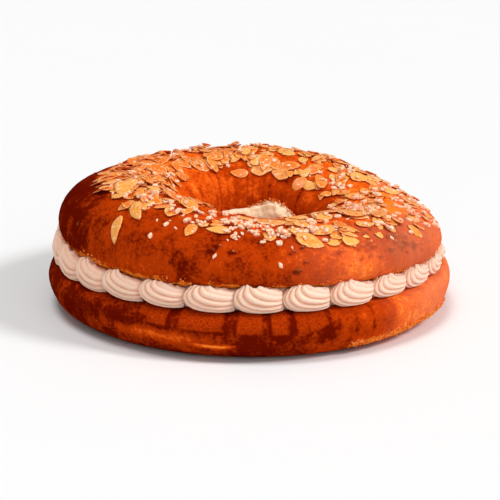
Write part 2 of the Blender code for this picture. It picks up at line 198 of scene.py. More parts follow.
class RingCakeSizes(PropertyGroup):
    """The sizes and numbers that change from one ring to the next."""

    swell_depth: length("Swell", "How far the crust rises and sinks, every few centimetres", 0.5 * MM)
    wrinkle_depth: length("Wrinkle depth", "How deep the creases in the crust are", 0.3 * MM)
    blister_height: length("Blister height", "How far a blister stands off the crust", 1.6 * MM)
    blisters: count("Blisters", "How many blisters the top crust has", 60)
    ridges: count("Ridges", "How many ridges the piping nozzle gives a shell", 7)
    ridge_depth: length("Ridge depth", "How deep the grooves of a shell are", 1.7 * MM)
    flake_length: length("Flake length", "The length of a flaked almond", 15.5 * MM)
    flake_width: length("Flake width", "The width of a flaked almond", 9.6 * MM)
    flake_thickness: length("Flake thickness", "The thickness of a flaked almond", 0.9 * MM)
    flakes: count("Flakes", "How many flakes are tried: one that would lie too high is left out", 480)
    nib_radius: length("Nib radius", "Half the length of a sugar nib", 1.7 * MM)
    nibs: count("Nibs", "How many nibs are tried: one that would lie too high is left out", 520)
    crumb_radius: length("Crumb radius", "Half the size of a bread crumb", 0.6 * MM)
    crumbs: count("Crumbs", "How many loose crumbs cling to the edges and the cream", 900)


class RingCakeColours(PropertyGroup):
    """The colours of the ring and of the floor."""

    crust_dark: colour("Dark crust", "The crust where it is most browned", (0.125, 0.0045, 0.0003))
    crust_brown: colour("Brown crust", "The crust over most of the ring", (0.44, 0.038, 0.0016))
    crust_orange: colour("Orange crust", "The crust where it is less browned", (0.74, 0.095, 0.006))
    crust_golden: colour("Golden crust", "The palest streaks in the crust", (0.90, 0.22, 0.022))
    crust_torn: colour("Torn crust", "The crust where it is torn, under its crumbs", (0.66, 0.17, 0.012))
    crust_glint: colour("Crust glint", "The glints on the blisters", (0.96, 0.30, 0.09))
    # Painted sheen: a pinkish painted reflection of the light on the crust at the right.
    crust_painted_sheen: colour("Crust bloom", "The pinkish bloom on the crust at the right", (0.79, 0.215, 0.10))
    crumb: colour("Crumb", "The inside of the bread, at the cut", (0.90, 0.50, 0.17))
    crumb_golden: colour("Golden crumb", "The toasted crumbs at the edges", (0.88, 0.32, 0.035))
    cream: colour("Cream", "The piped cream", (0.88, 0.60, 0.46))
    # Painted light: the mound of cream in the hole is painted brighter and warmer, as it lies in the shade
    # of the hole's wall.
    cream_mound_light: colour("Cream mound", "The cream welled up in the hole", (1.0, 0.71, 0.46))
    # Painted shade in the grooves of a shell, and over the shells at the left.
    cream_groove_shade: colour("Cream groove", "The cream in the grooves of a shell", (0.70, 0.30, 0.14))
    almond: colour("Almond", "A flaked almond", (0.97, 0.40, 0.08))
    almond_toasted: colour("Toasted almond", "The more toasted flakes", (0.84, 0.175, 0.007))
    # Painted highlight: a pale band just inside the edge of each flake's face.
    almond_rim_highlight: colour("Almond rim", "The pale edge of a flake's face", (0.97, 0.45, 0.15))
    almond_glaze: colour("Almond glaze", "The sugary glaze on the flakes", (0.98, 0.61, 0.36))
    almond_skin: colour("Almond skin", "The brown rim of a flake", (0.52, 0.09, 0.008))
    sugar: colour("Sugar", "The sugar nibs", (1.0, 0.72, 0.53))
    sugar_deep: colour("Deep sugar", "The sugar where the nibs are clear", (0.95, 0.36, 0.16))
    floor: colour("Floor", "The floor of the stage", (0.84, 0.84, 0.84))


# Noise and waves.


def noise(points, size, seed):
    """Smooth random values from -1 to 1, which change over about the given size."""
    cells = points / size
    base = np.floor(cells).astype(int)
    part = cells - base
    part = part * part * (3 - 2 * part)
    lattice = LATTICES[seed]
    total = 0
    for corner in itertools.product((0, 1), repeat=3):
        weight = np.prod(np.where(corner, part, 1 - part), axis=-1)
        index = (base + corner) % LATTICE
        total = total + weight * lattice[index[..., 0], index[..., 1], index[..., 2]]
    return total


def wave(bearing, terms):
    """A sum of waves round the ring, each given as how many, how high and where it starts."""
    return sum(high * np.sin(times * bearing + start) for times, high, start in terms)


def ease(value, low, high):
    """From 0 at the low value to 1 at the high one, smoothly."""
    share = np.clip((value - low) / (high - low), 0, 1)
    return share * share * (3 - 2 * share)


# Places on the ring.


def turned_from(bearing, middle):
    """The angle from one bearing to another, the shorter way round."""
    return np.angle(np.exp(1j * (bearing - middle)))


def near(bearing, degrees, width):
    """1 at a bearing given in degrees, falling away on either side of it."""
    return np.exp(-((np.degrees(turned_from(bearing, math.radians(degrees))) / width) ** 2))


def around(bearing, radius, height):
    """Points from their bearing, radius and height."""
    flat = np.broadcast_arrays(radius * np.sin(bearing), -radius * np.cos(bearing), height)
    return np.stack(flat, axis=-1)


def swell(bearing):
    """How high the top half is at a bearing, as a share of its height."""
    return 1 + wave(bearing, SWELLS)


def top_frame():
    """Where the tilted top half stands."""
    tilt = Euler((-TILT_TO_BACK, TILT_TO_RIGHT, 0)).to_matrix().to_4x4()
    return Matrix.Translation((0, 0, TOP_LIFT)) @ tilt


TOP_FRAME = np.array(top_frame())


def crust(bearing, radius, height):
    """Points of the tilted top half from their places in the even ring."""
    above_waist = np.maximum(0, (height - TOP_WAIST) / (TOP_HEIGHT - TOP_WAIST))
    side = np.maximum(0, (radius - TOP_CREST) / (TOP_OUTER - TOP_CREST))
    outward = side * above_waist * wave(bearing, WANDERS)
    sagged = sag(bearing, radius) * np.maximum(0, 1 - height / SAG_HEIGHT)
    points = around(bearing, radius + outward, height * swell(bearing) - sagged)
    return points @ TOP_FRAME[:3, :3].T + TOP_FRAME[:3, 3]


def sag(bearing, radius):
    """How far the cut face hangs down: most at its outer edge, and not at all at the hole."""
    beside = turned_from(bearing, SAG_BEARING) / SAG_WIDTH
    share = np.clip((radius - TOP_CUT_INNER) / (TOP_CUT_OUTER - TOP_CUT_INNER), 0, 1)
    return SAG * np.exp(-(beside**4)) * share


def quarter(centre, reach, start, end, fullness=2.0):
    """Points of a quarter of a squared ellipse, from one angle in degrees to the other."""
    angle = np.radians(np.linspace(start, end, QUARTER_STEPS + 1))
    across = np.cos(angle)
    up = np.sin(angle)
    return np.stack(
        [
            centre[0] + reach[0] * np.sign(across) * np.abs(across) ** (2 / fullness),
            centre[1] + reach[1] * np.sign(up) * np.abs(up) ** (2 / fullness),
        ],
        axis=-1,
    )


def measured(*stretches):
    """The joined stretches as points, and each point's distance along them."""
    points = np.concatenate(stretches)
    steps = np.linalg.norm(np.diff(points, axis=0), axis=1)
    keep = np.concatenate([[True], steps > 1e-9])
    points = points[keep]
    along = np.concatenate([[0], np.cumsum(np.linalg.norm(np.diff(points, axis=0), axis=1))])
    return points, along


def top_crust_section():
    """The crust from the inner cut edge over the crest to the outer one, and the fall of each point."""
    rise = TOP_HEIGHT - TOP_WAIST
    crest = (TOP_CREST, TOP_WAIST)
    points, along = measured(
        quarter((TOP_CUT_INNER, TOP_WAIST), (TOP_CUT_INNER - TOP_INNER, TOP_WAIST), 270, 180),
        quarter(crest, (TOP_CREST - TOP_INNER, rise), 180, 90, INNER_FULLNESS),
        quarter(crest, (TOP_OUTER - TOP_CREST, rise), 90, 0, OUTER_FULLNESS),
        quarter((TOP_CUT_OUTER, TOP_WAIST), (TOP_OUTER - TOP_CUT_OUTER, TOP_WAIST), 0, -90),
    )
    top = np.argmax(points[:, 1])
    return points, along - along[top]


CRUST_POINTS, CRUST_FALLS = top_crust_section()
FALL_INNER = CRUST_FALLS[0]
FALL_OUTER = CRUST_FALLS[-1]


def crust_radius(fall):
    return np.interp(fall, CRUST_FALLS, CRUST_POINTS[:, 0])


def crust_at(bearing, fall):
    """A point of the top crust from its bearing and its fall."""
    return crust(bearing, crust_radius(fall), np.interp(fall, CRUST_FALLS, CRUST_POINTS[:, 1]))


def crust_normal(bearing, fall):
    """The direction straight out of the top crust at a place."""
    step = 0.4 * MM
    turn = step / TOP_CREST
    along = crust_at(bearing + turn, fall) - crust_at(bearing - turn, fall)
    down = crust_at(bearing, fall + step) - crust_at(bearing, fall - step)
    normal = np.cross(down, along)
    return normal / np.linalg.norm(normal, axis=-1, keepdims=True)


def place_of_slope(slope):
    """The radius and height, in the even ring, of the slope that the solid's toppings use."""
    reach = TOP_OUTER - TOP_CREST if slope > 0 else TOP_CREST - TOP_INNER
    fullness = OUTER_FULLNESS if slope > 0 else INNER_FULLNESS
    angle = abs(slope) * math.pi / 2
    across = math.copysign(math.sin(angle) ** (2 / fullness), slope)
    up = math.cos(angle) ** (2 / fullness)
    return TOP_CREST + reach * across, TOP_WAIST + (TOP_HEIGHT - TOP_WAIST) * up


SLOPES = np.linspace(-1, 1, 401)
SLOPE_FALLS = np.interp(
    [place_of_slope(slope)[0] for slope in SLOPES],
    CRUST_POINTS[:, 0][(CRUST_POINTS[:, 1] >= TOP_WAIST)],
    CRUST_FALLS[(CRUST_POINTS[:, 1] >= TOP_WAIST)],
)


def fall_of(slope):
    return np.interp(slope, SLOPES, SLOPE_FALLS)


def cut_height(bearing, radius):
    """The height of the top half's tilted and sagging cut face over a place."""
    normal = TOP_FRAME[:3, 2]
    place = around(bearing, radius, 0.0)
    flat = TOP_LIFT - (normal[0] * place[..., 0] + normal[1] * place[..., 1]) / normal[2]
    return flat - sag(bearing, radius)


# Meshes.


def new_piece(name, points, faces, materials, node):
    """A smooth mesh that rides on the ring, takes its finish from a slot and stands for a solid."""
    old = bpy.data.objects.get(name)
    if old is not None:
        bpy.data.objects.remove(old)
    mesh = bpy.data.meshes.new(name)
    mesh.from_pydata(np.asarray(points).reshape(-1, 3).tolist(), [], faces)
    mesh.shade_smooth()
    for finish in materials:
        mesh.materials.append(finish)
    piece = bpy.data.objects.new(name, mesh)
    bpy.context.scene.collection.objects.link(piece)
    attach(piece, "root")
    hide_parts(node)
    return piece


def set_values(piece, name, values):
    """Keeps one number for each point of the mesh, which its material reads by name."""
    layer = piece.data.attributes.new(name, "FLOAT", "POINT")
    layer.data.foreach_set("value", np.asarray(values, np.float32).ravel())


def ring_faces(steps, rows):
    """The faces of a closed grid, whose rows run outwards over the top of the ring."""
    corners = np.arange(steps * rows).reshape(steps, rows)
    beyond = np.roll(corners, -1, axis=0)
    faces = [corners, np.roll(corners, -1, 1), np.roll(beyond, -1, 1), beyond]
    return np.stack(faces, axis=-1).reshape(-1, 4)


def grid_normals(points):
    """The outward normals of a closed grid of points."""
    along = np.roll(points, -1, 0) - np.roll(points, 1, 0)
    down = np.roll(points, -1, 1) - np.roll(points, 1, 1)
    normals = np.cross(down, along)
    return normals / np.maximum(1e-12, np.linalg.norm(normals, axis=-1, keepdims=True))


# The bread.


def creases(bearing, down, size, seed):
    """Fine lines that run down the side, from 0 between them to 1 along them."""
    flat = np.stack([bearing * TOP_CREST, down * 0.16, np.full_like(down, seed * 0.1)], axis=-1)
    lines = 1 - np.abs(noise(flat, size, seed))
    return np.clip(lines, 0, 1) ** 5


# The larger blisters of the top crust: bearing in degrees, slope, and radius in millimetres.
LARGE_BLISTERS = (
    (34, 0.63, 2.6),
    (37, 0.60, 1.9),
    (32.5, 0.60, 1.6),
    (38, 0.66, 1.8),
    (35.5, 0.69, 1.6),
    (46, 0.56, 1.8),
    (49, 0.60, 2.2),
    (47.5, 0.66, 1.7),
    (51, 0.70, 2.0),
    (49, 0.75, 1.6),
    (53, 0.62, 1.6),
    (56, 0.78, 2.1),
    (26, 0.66, 1.7),
    (-9, 0.60, 1.8),
    (-5, 0.66, 1.6),
    (12, 0.62, 1.8),
)


def blister_places(number):
    """The bearing, fall and radius of each blister. They are thickest low on the right side."""
    rng = random.Random(SEED + 3)
    places = [
        (math.radians(bearing), float(fall_of(slope)), radius * MM)
        for bearing, slope, radius in LARGE_BLISTERS
    ]
    while len(places) < number:
        bearing = rng.uniform(-math.pi, math.pi)
        slope = rng.uniform(0.35, 0.95)
        if rng.random() > 0.04 + 0.96 * math.exp(-(((math.degrees(bearing) - 46) / 20) ** 2)):
            continue
        places.append((bearing, float(fall_of(slope)), rng.uniform(0.8, 1.6) * MM))
    return places


def blistered(bearing, fall, places, height):
    """How far the blisters raise the crust, where they are marked darker, and the glint on each one. The
    marks are browner on each blister, with painted shade in the dent beside it.
    """
    radius_here = crust_radius(fall)
    relief = np.zeros_like(fall)
    marks = np.zeros_like(fall)
    glints = np.zeros_like(fall)
    for turn, down, radius in places:
        across = turned_from(bearing, turn) * radius_here
        far = np.hypot(across, fall - down) / radius
        relief += height * (radius / (2 * MM)) * np.exp(-(far**2)) * (far < 3)
        beside = np.hypot(across + 1.6 * radius, fall - down - 0.8 * radius) / radius
        relief -= 0.45 * height * np.exp(-(beside**2)) * (beside < 3)
        # Browner on the blister, and painted shade in the dent beside it.
        marks = np.maximum(marks, np.exp(-0.9 * np.minimum(far, beside) ** 2))
        above = np.hypot(across / (0.5 * radius), (fall - down + 0.3 * radius) / (0.35 * radius))
        glints = np.maximum(glints, np.exp(-(np.minimum(above, 5) ** 2)))
    return relief, marks, glints


def top_grid():
    """The top half as a smooth grid: bearings, falls, points, and which of them are on its cut."""
    bearing, rows = np.meshgrid(
        np.linspace(-math.pi, math.pi, BREAD_STEPS, endpoint=False),
        np.arange(CRUST_ROWS + FACE_ROWS),
        indexing="ij",
    )
    fall = FALL_INNER + (FALL_OUTER - FALL_INNER) * np.minimum(1, rows / (CRUST_ROWS - 1))
    share = (rows - CRUST_ROWS + 1) / (FACE_ROWS + 1)
    face_radius = TOP_CUT_OUTER + (TOP_CUT_INNER - TOP_CUT_OUTER) * np.clip(share, 0, 1)
    face_points = crust(bearing, face_radius, np.zeros_like(face_radius))
    on_face = rows >= CRUST_ROWS
    points = np.where(on_face[..., None], face_points, crust_at(bearing, fall))
    return bearing, fall, points, on_face


def torn_edge(fall, points):
    """1 along the torn outer edge of the top half and 0 above it, with a ragged border."""
    reach = (8.9 + 4.2 * noise(points, 9 * MM, 9) + 2.4 * noise(points, 3 * MM, 10)) * MM
    return 1 - ease(FALL_OUTER - fall, reach - 1.5 * MM, reach + 1.5 * MM)


def top_creases(bearing, fall, points, wall):
    """The creases in the top half, down its outer side and down the wall of the hole."""
    side = ease(fall, 18 * MM, 34 * MM) * ease(FALL_OUTER - fall, 1 * MM, 8 * MM)
    patchy = ease(noise(points, 26 * MM, 3), -0.2, 0.5)
    creased = side * patchy * creases(bearing, fall, 5 * MM, 4) * (1 - 0.8 * near(bearing, -85, 45))
    return np.maximum(creased, wall * creases(bearing, fall, 9 * MM, 5))


# Where the outer side of the top crust is browner than the rest, or paler: the bearing and the
# width in degrees, and by how much.
BROWNED_PATCHES = ((-4, 22, 0.21), (-44, 18, -0.19), (30, 14, -0.20), (54, 18, 0.34), (-68, 20, 0.15))


def top_browning(bearing, fall, points, wall):
    """How browned the top crust is: most at the left, and less on the crest and along its edges. It has
    painted light between the flakes of the heap at the left, and painted shade and light on the wall of the
    hole.
    """
    sideways = np.sin(bearing)
    browned = 0.53 - np.where(sideways > 0, 0.36, 0.38) * sideways * np.abs(sideways) * (1 - wall)
    browned -= 0.16 * (1 - ease(np.abs(fall + 2 * MM), 20 * MM, 32 * MM)) * (1 - wall)
    # On the wall of the hole, painted shade and light: browner at the back right, which faces away from the
    # key light, and paler at the front left, which faces it.
    browned += 0.11 * noise(points, 24 * MM, 8) - wall * (0.21 - 0.26 * np.cos(bearing - 2.2))
    outside = ease(fall, 12 * MM, 26 * MM)
    for middle, width, browner in BROWNED_PATCHES:
        browned += browner * near(bearing, middle, width) * outside
    # Painted light: the crust between the flakes of the heap at the left is paler, to lift their shade.
    browned -= 0.75 * near(bearing, -100, 50) * (1 - ease(np.abs(fall + 4 * MM), 18 * MM, 30 * MM))
    edge = np.minimum(fall - FALL_INNER, FALL_OUTER - fall)
    return np.where(edge < 3 * MM, browned - 0.12, browned)


def top_painted_sheen(bearing, fall):
    """How much pinkish painted sheen the top crust has: most at the far right of its outer side."""
    sideways = np.sin(bearing)
    painted_sheen = 0.22 * ease(sideways, 0.1, 0.5) + 0.40 * ease(sideways, 0.5, 1.0)
    return painted_sheen * ease(fall, 10 * MM, 30 * MM)


def build_top_crust(sizes, colours):
    bearing, fall, points, on_face = top_grid()
    normals = grid_normals(points)
    torn = torn_edge(fall, points)
    wall = ease(-fall, 20 * MM, 34 * MM)
    creased = top_creases(bearing, fall, points, wall)
    places = blister_places(sizes.blisters)
    blisters, marks, glints = blistered(bearing, fall, places, sizes.blister_height)
    relief = sizes.swell_depth * noise(points, 32 * MM, 0)
    relief += 0.5 * sizes.swell_depth * noise(points, 12 * MM, 1)
    relief += 0.12 * MM * noise(points, 3.2 * MM, 2)
    relief += blisters - sizes.wrinkle_depth * creased
    relief += torn * (0.7 * MM * noise(points, 2.6 * MM, 6) - 0.2 * MM)
    relief = np.where(on_face, 0.35 * MM * noise(points, 2.5 * MM, 7) - 0.2 * MM, relief)
    points = points + normals * relief[..., None]
    piece = new_piece(
        "top_crust",
        points,
        ring_faces(BREAD_STEPS, CRUST_ROWS + FACE_ROWS).tolist(),
        [crust_finish("glazed_crust", colours, 0.33), crumb_finish("top_cut_crumb", colours)],
        "top_bread",
    )
    browned = top_browning(bearing, fall, points, wall)
    # The browning also takes the marks of the blisters and painted shade in the creases.
    set_values(piece, "browned", browned + 0.45 * marks + 0.25 * creased)
    set_values(piece, "torn", torn)
    set_values(piece, "patch", np.zeros_like(fall))
    set_values(piece, "painted_sheen", top_painted_sheen(bearing, fall))
    set_values(piece, "glint", glints)
    mark_cut(piece, on_face)
    return piece


def mark_cut(piece, on_face):
    """Gives the faces of the cut the second material."""
    corner = on_face.ravel()
    flags = corner[ring_faces(*on_face.shape)].all(axis=1)
    piece.data.polygons.foreach_set("material_index", flags.astype(np.int32))


# The stretches of the bottom half's outline.
CUT, SIDE, BASE, WALL = range(4)


def bottom_section():
    """The bottom half's outline, outwards over the cut face, down the side and back underneath.

    Each point is given as its radius and height, with the stretch that it belongs to.
    """
    drop = BOTTOM_HEIGHT - BOTTOM_WAIST
    cut = np.linspace((BOTTOM_CUT_INNER, BOTTOM_HEIGHT), (BOTTOM_CUT_OUTER, BOTTOM_HEIGHT), CUT_POINTS)
    side = measured(
        quarter((BOTTOM_CUT_OUTER, BOTTOM_WAIST), (OUTER_RADIUS - BOTTOM_CUT_OUTER, drop), 90, 0),
        quarter((FOOT_OUTER, BOTTOM_WAIST), (OUTER_RADIUS - FOOT_OUTER, BOTTOM_WAIST), 0, -90),
    )
    base = np.linspace((FOOT_OUTER, 0), (FOOT_INNER, 0), BASE_POINTS)
    wall = measured(
        quarter((FOOT_INNER, BOTTOM_WAIST), (FOOT_INNER - HOLE_RADIUS, BOTTOM_WAIST), 270, 180),
        quarter((BOTTOM_CUT_INNER, BOTTOM_WAIST), (BOTTOM_CUT_INNER - HOLE_RADIUS, drop), 180, 90),
    )
    stretches = (cut[1:-1], even(side, SIDE_POINTS), base[1:-1], even(wall, WALL_POINTS))
    kinds = np.repeat((CUT, SIDE, BASE, WALL), [len(stretch) for stretch in stretches])
    return np.concatenate(stretches), kinds


def shoulder(bearing):
    """How much further the bottom half's upper edge stands out at a bearing."""
    return SHOULDER * np.sin(bearing) ** 4


def even(stretch, steps):
    """That many points, evenly spaced along a measured stretch."""
    points, along = stretch
    places = np.linspace(0, along[-1], steps)
    return np.stack([np.interp(places, along, points[:, k]) for k in (0, 1)], axis=-1)


# The pale, grainy patches that the cream's strips left low on the front: their bearings in
# degrees at either side, and the heights in millimetres that they reach down to there.
PATCHES = (
    (-31.0, -28.0, 30.0, 29.0),
    (-28.0, -22.2, 26.0, 24.5),
    (-18.6, -7.0, 23.6, 23.8),
    (-3.0, 3.3, 22.6, 22.2),
    (5.8, 10.0, 22.0, 21.6),
    (12.4, 15.6, 20.0, 21.4),
    (15.6, 20.6, 21.4, 26.5),
    (22.4, 26.0, 28.5, 30.0),
)


def patch_mask(bearing, height, points):
    """1 inside the pale patches and 0 outside, with ragged edges."""
    ragged = noise(points, 3 * MM, 9)
    turned = np.degrees(bearing) + 0.25 * ragged
    mask = np.zeros_like(height)
    for left, right, low_left, low_right in PATCHES:
        share = np.clip((turned - left) / (right - left), 0, 1)
        low = (low_left + (low_right - low_left) * share + 0.9 * ragged) * MM
        inside = ease(turned, left - 0.25, left + 0.25) * (1 - ease(turned, right - 0.25, right + 0.25))
        mask = np.maximum(mask, inside * ease(height, low - 0.5 * MM, low + 0.5 * MM))
    return mask


def bottom_points(bearing, radius, height):
    """The places of the bottom half's grid, with its shoulders and its wandering side."""
    bulge = np.sin(math.pi * np.minimum(1, height / BOTTOM_HEIGHT)) ** 2
    reach = (radius - TOP_CREST) / (OUTER_RADIUS - TOP_CREST)
    above_waist = np.maximum(0, (height - BOTTOM_WAIST) / (BOTTOM_HEIGHT - BOTTOM_WAIST))
    outward = bulge * reach * wave(bearing, BOTTOM_WANDERS)
    outward += shoulder(bearing) * above_waist**2 * ease(radius, 60 * MM, BOTTOM_CUT_OUTER)
    return around(bearing, radius + outward, height)


def bottom_creases(bearing, height, points):
    """The creases down the bottom half's side: patchy, and closest at the front right."""
    patchy = ease(noise(points, 24 * MM, 3), -0.2, 0.5)
    creased = creases(bearing, height, 6 * MM, 4)
    return creased * np.maximum(0.6 * patchy, near(bearing, 38, 14) * ease(height, 12 * MM, 20 * MM))


def bottom_browning(bearing, height, points):
    """How browned the bottom half is: least at the right, and paler in two spots at the front."""
    turned = np.degrees(bearing)
    browned = 0.88 - 0.68 * ease(turned, 9, 54) * (1 - ease(turned, 125, 180))
    browned += 0.12 * noise(points, 24 * MM, 8)
    browned += 0.08 * ease(height, 20 * MM, 24 * MM) * (1 - ease(np.abs(turned + 4), 22, 30))
    browned -= 0.62 * near(bearing, -24, 14) * np.exp(-(((height - 17 * MM) / (4 * MM)) ** 2))
    streak = np.exp(-(((height - 12.2 * MM - 0.8 * MM * noise(points, 9 * MM, 5)) / (1.4 * MM)) ** 2))
    return browned - 0.85 * streak * ease(turned, -17, -12) * (1 - ease(turned, -6, -3))


def bottom_painted_sheen(bearing):
    """How much pinkish painted sheen the bottom half has: only at the right."""
    turned = np.degrees(bearing)
    return 0.72 * ease(turned, 34, 66) * (1 - ease(turned, 120, 150))


def build_bottom_crust(sizes, colours):
    outline, kinds = bottom_section()
    turns = np.linspace(-math.pi, math.pi, BREAD_STEPS, endpoint=False)
    bearing = np.repeat(turns[:, None], len(outline), axis=1)
    radius = np.repeat(outline[None, :, 0], BREAD_STEPS, axis=0)
    height = np.repeat(outline[None, :, 1], BREAD_STEPS, axis=0)
    kind = np.repeat(kinds[None, :], BREAD_STEPS, axis=0)
    points = bottom_points(bearing, radius, height)
    normals = grid_normals(points)
    patch = patch_mask(bearing, height, points) * (kind == SIDE)
    lip = lip_mask(bearing, height) * (kind == SIDE)
    creased = bottom_creases(bearing, height, points)
    relief = sizes.swell_depth * noise(points, 30 * MM, 0)
    relief += 0.4 * sizes.swell_depth * noise(points, 10 * MM, 1)
    relief += 0.10 * MM * noise(points, 3 * MM, 2)
    relief -= 1.6 * sizes.wrinkle_depth * creased
    relief -= patch * (0.35 * MM + 0.22 * MM * noise(points, 1.6 * MM, 6))
    relief *= ease(height, 0, 6 * MM) * ease(BOTTOM_HEIGHT - height, 0, 3 * MM)
    relief += lip * (1.1 * MM + 1.7 * MM * noise(points, 4.0 * MM, 10))
    relief = np.where(kind == CUT, 0.3 * MM * noise(points, 2.5 * MM, 7) - 0.2 * MM, relief)
    relief = np.where(kind == BASE, 0, relief)
    points = points + normals * relief[..., None]
    points[..., 2] = np.maximum(0, points[..., 2])
    piece = new_piece(
        "bottom_crust",
        points,
        ring_faces(BREAD_STEPS, len(outline)).tolist(),
        [crust_finish("baked_base", colours, 0.42), crumb_finish("bottom_cut_crumb", colours)],
        "bottom_bread",
    )
    # The browning also takes painted shade in the creases.
    set_values(piece, "browned", bottom_browning(bearing, height, points) + 0.3 * creased)
    set_values(piece, "torn", lip)
    set_values(piece, "patch", patch)
    set_values(piece, "painted_sheen", bottom_painted_sheen(bearing))
    set_values(piece, "glint", np.zeros_like(height))
    mark_cut(piece, kind == CUT)
    return piece


def lip_mask(bearing, height):
    """1 along the pale crumbly lip that the base's edge has at the front right."""
    turned = np.degrees(bearing)
    band = np.exp(-(((height - lip_height(turned)) / (3.1 * MM)) ** 4))
    return band * ease(turned, 24, 32) * (1 - ease(turned, 66, 76))


def lip_height(turned):
    """How high the middle of the lip is, for a bearing in degrees."""
    return (8.0 + 3.5 * ease(turned, 30, 60)) * MM


# The cream.


def lower_bread(bearing, radius):
    """The height of the bottom half's upper face over a place, with its rounded shoulder."""
    reach = OUTER_RADIUS - BOTTOM_CUT_OUTER
    pushed = shoulder(bearing)
    over = radius - BOTTOM_CUT_OUTER - pushed
    across = 2 * over / (reach + np.sqrt(reach * reach - 4 * pushed * over))
    up = np.sqrt(1 - np.clip(across, 0, 1) ** 2)
    return BOTTOM_WAIST + (BOTTOM_HEIGHT - BOTTOM_WAIST) * up


def upper_bread(bearing, radius):
    """The height of the top half's lower face over a place, with its rounded outer edge."""
    over = np.clip((radius - TOP_CUT_OUTER) / (TOP_OUTER - TOP_CUT_OUTER), 0, 1)
    return cut_height(bearing, radius) + TOP_WAIST * swell(bearing) * (1 - np.sqrt(1 - over * over))


# The lowest and the uppermost ridge of a shell, as the four points that bend each one: first across
# the shell, as a part of its width, and then up it, from -1 at its foot to 1 at its top.
SHELL_FOOT = -0.92
SHELL_HEIGHT = 1.92
LOWEST_RIDGE = np.array([(-0.30, 1.06), (-0.76, -0.10), (-0.36, -1.42), (0.55, -0.84)])
UPPERMOST_RIDGE = np.array([(0.02, 1.30), (0.10, 1.10), (0.30, 0.98), (0.55, 0.74)])


def bent(share, points):
    """The places along a ridge, from 0 at the top of the shell's head to 1 at its tail."""
    rest = 1 - share
    weights = np.stack([rest**3, 3 * rest**2 * share, 3 * rest * share**2, share**3], axis=-1)
    return weights @ points


def shell_depth(share):
    """How far a shell stands out along its ridges: fullest in its head, and tucked in at its tail."""
    head = 0.66 + 0.34 * np.sin(0.5 * math.pi * np.minimum(1, share / 0.5))
    slimmer = 1 - 0.12 * np.clip((share - 0.5) / 0.45, 0, 1)
    ending = np.clip((share - 0.84) / 0.16, 0, 1)
    return SHELL_DEPTH * head * slimmer * (0.25 + 0.75 * np.sqrt(1 - ending**2))


def shell_grid(ridges, ridge_depth, rng):
    """One shell as rings across its ridges, each point given across, outwards and up.

    No two are quite alike, and the grooves fade out towards the upper edge of the tail.
    """
    share = np.linspace(0, 1, SHELL_RINGS)[:, None]
    wilful = np.array([[rng.gauss(0, 0.02), rng.gauss(0, 0.04)] for _ in range(8)])
    lowest = bent(share[:, 0], LOWEST_RIDGE + wilful[:4])[:, None]
    uppermost = bent(share[:, 0], UPPERMOST_RIDGE + wilful[4:])[:, None]
    turn = np.linspace(0, 1, ridges * RIDGE_POINTS + 1)
    skewed = turn**1.12
    over = (0.5 - 0.5 * np.cos(math.pi * skewed))[None, :, None]
    flat = lowest + (uppermost - lowest) * over
    out = shell_depth(share) * np.sin(math.pi * skewed) ** 0.8
    crown = np.abs(np.cos(math.pi * ridges * turn**0.9)) ** 1.1
    fading = 1 - 0.7 * (0.3 + 0.7 * ease(share, 0.2, 0.6)) * ease(turn, 0.5, 0.95)
    sunk = ridge_depth * (1 - crown) * fading * (0.45 + 0.55 * shell_depth(share) / SHELL_DEPTH)
    across = (uppermost - lowest) / np.linalg.norm(uppermost - lowest, axis=-1, keepdims=True)
    facing = np.cos(math.pi * skewed)
    flat = flat + (across * facing[None, :, None]) * sunk[..., None] * (1 / (SHELL_PITCH * SHELL_RING), 90)
    out = out - sunk * np.sin(math.pi * skewed)
    front = np.stack([flat[..., 0], out, flat[..., 1]], axis=-1)
    back = front[:, ::-BACK_STRIDE] * (1, 0, 0.9) - (0, SHELL_TUCKED, 0)
    # How much painted shade each point has: in the grooves of the front, and none on the back.
    grooves = np.concatenate([(1 - crown) * fading, np.zeros(back.shape[:2])], axis=1)
    return np.concatenate([front, back], axis=1), grooves


def piped(points, middle):
    """Points of a shell laid along the ring, between the halves of the bread.

    The shells at the far left are fuller, and hang lower over the bottom half's shoulder.
    """
    bearing = middle + points[..., 0] * SHELL_PITCH
    radius = SHELL_RING + points[..., 1] * (1 + 0.2 * near(middle, -85, 25))
    hang = (3.5 * near(middle, -75, 28) - near(middle, -32, 12)) * MM
    foot = lower_bread(bearing, SHELL_RING) - SHELL_SUNK - hang
    top = cut_height(bearing, SHELL_RING) + SHELL_LIFT
    height = foot + (top - foot) * (points[..., 2] - SHELL_FOOT) / SHELL_HEIGHT
    low = lower_bread(bearing, radius) - SHELL_SUNK
    high = upper_bread(bearing, radius) + SHELL_SUNK
    room = 0.5 * (high - low)
    share = (height - 0.5 * (low + high)) / room
    share = share / (1 + share**8) ** (1 / 8)
    return around(bearing, radius, 0.5 * (low + high) + share * room)


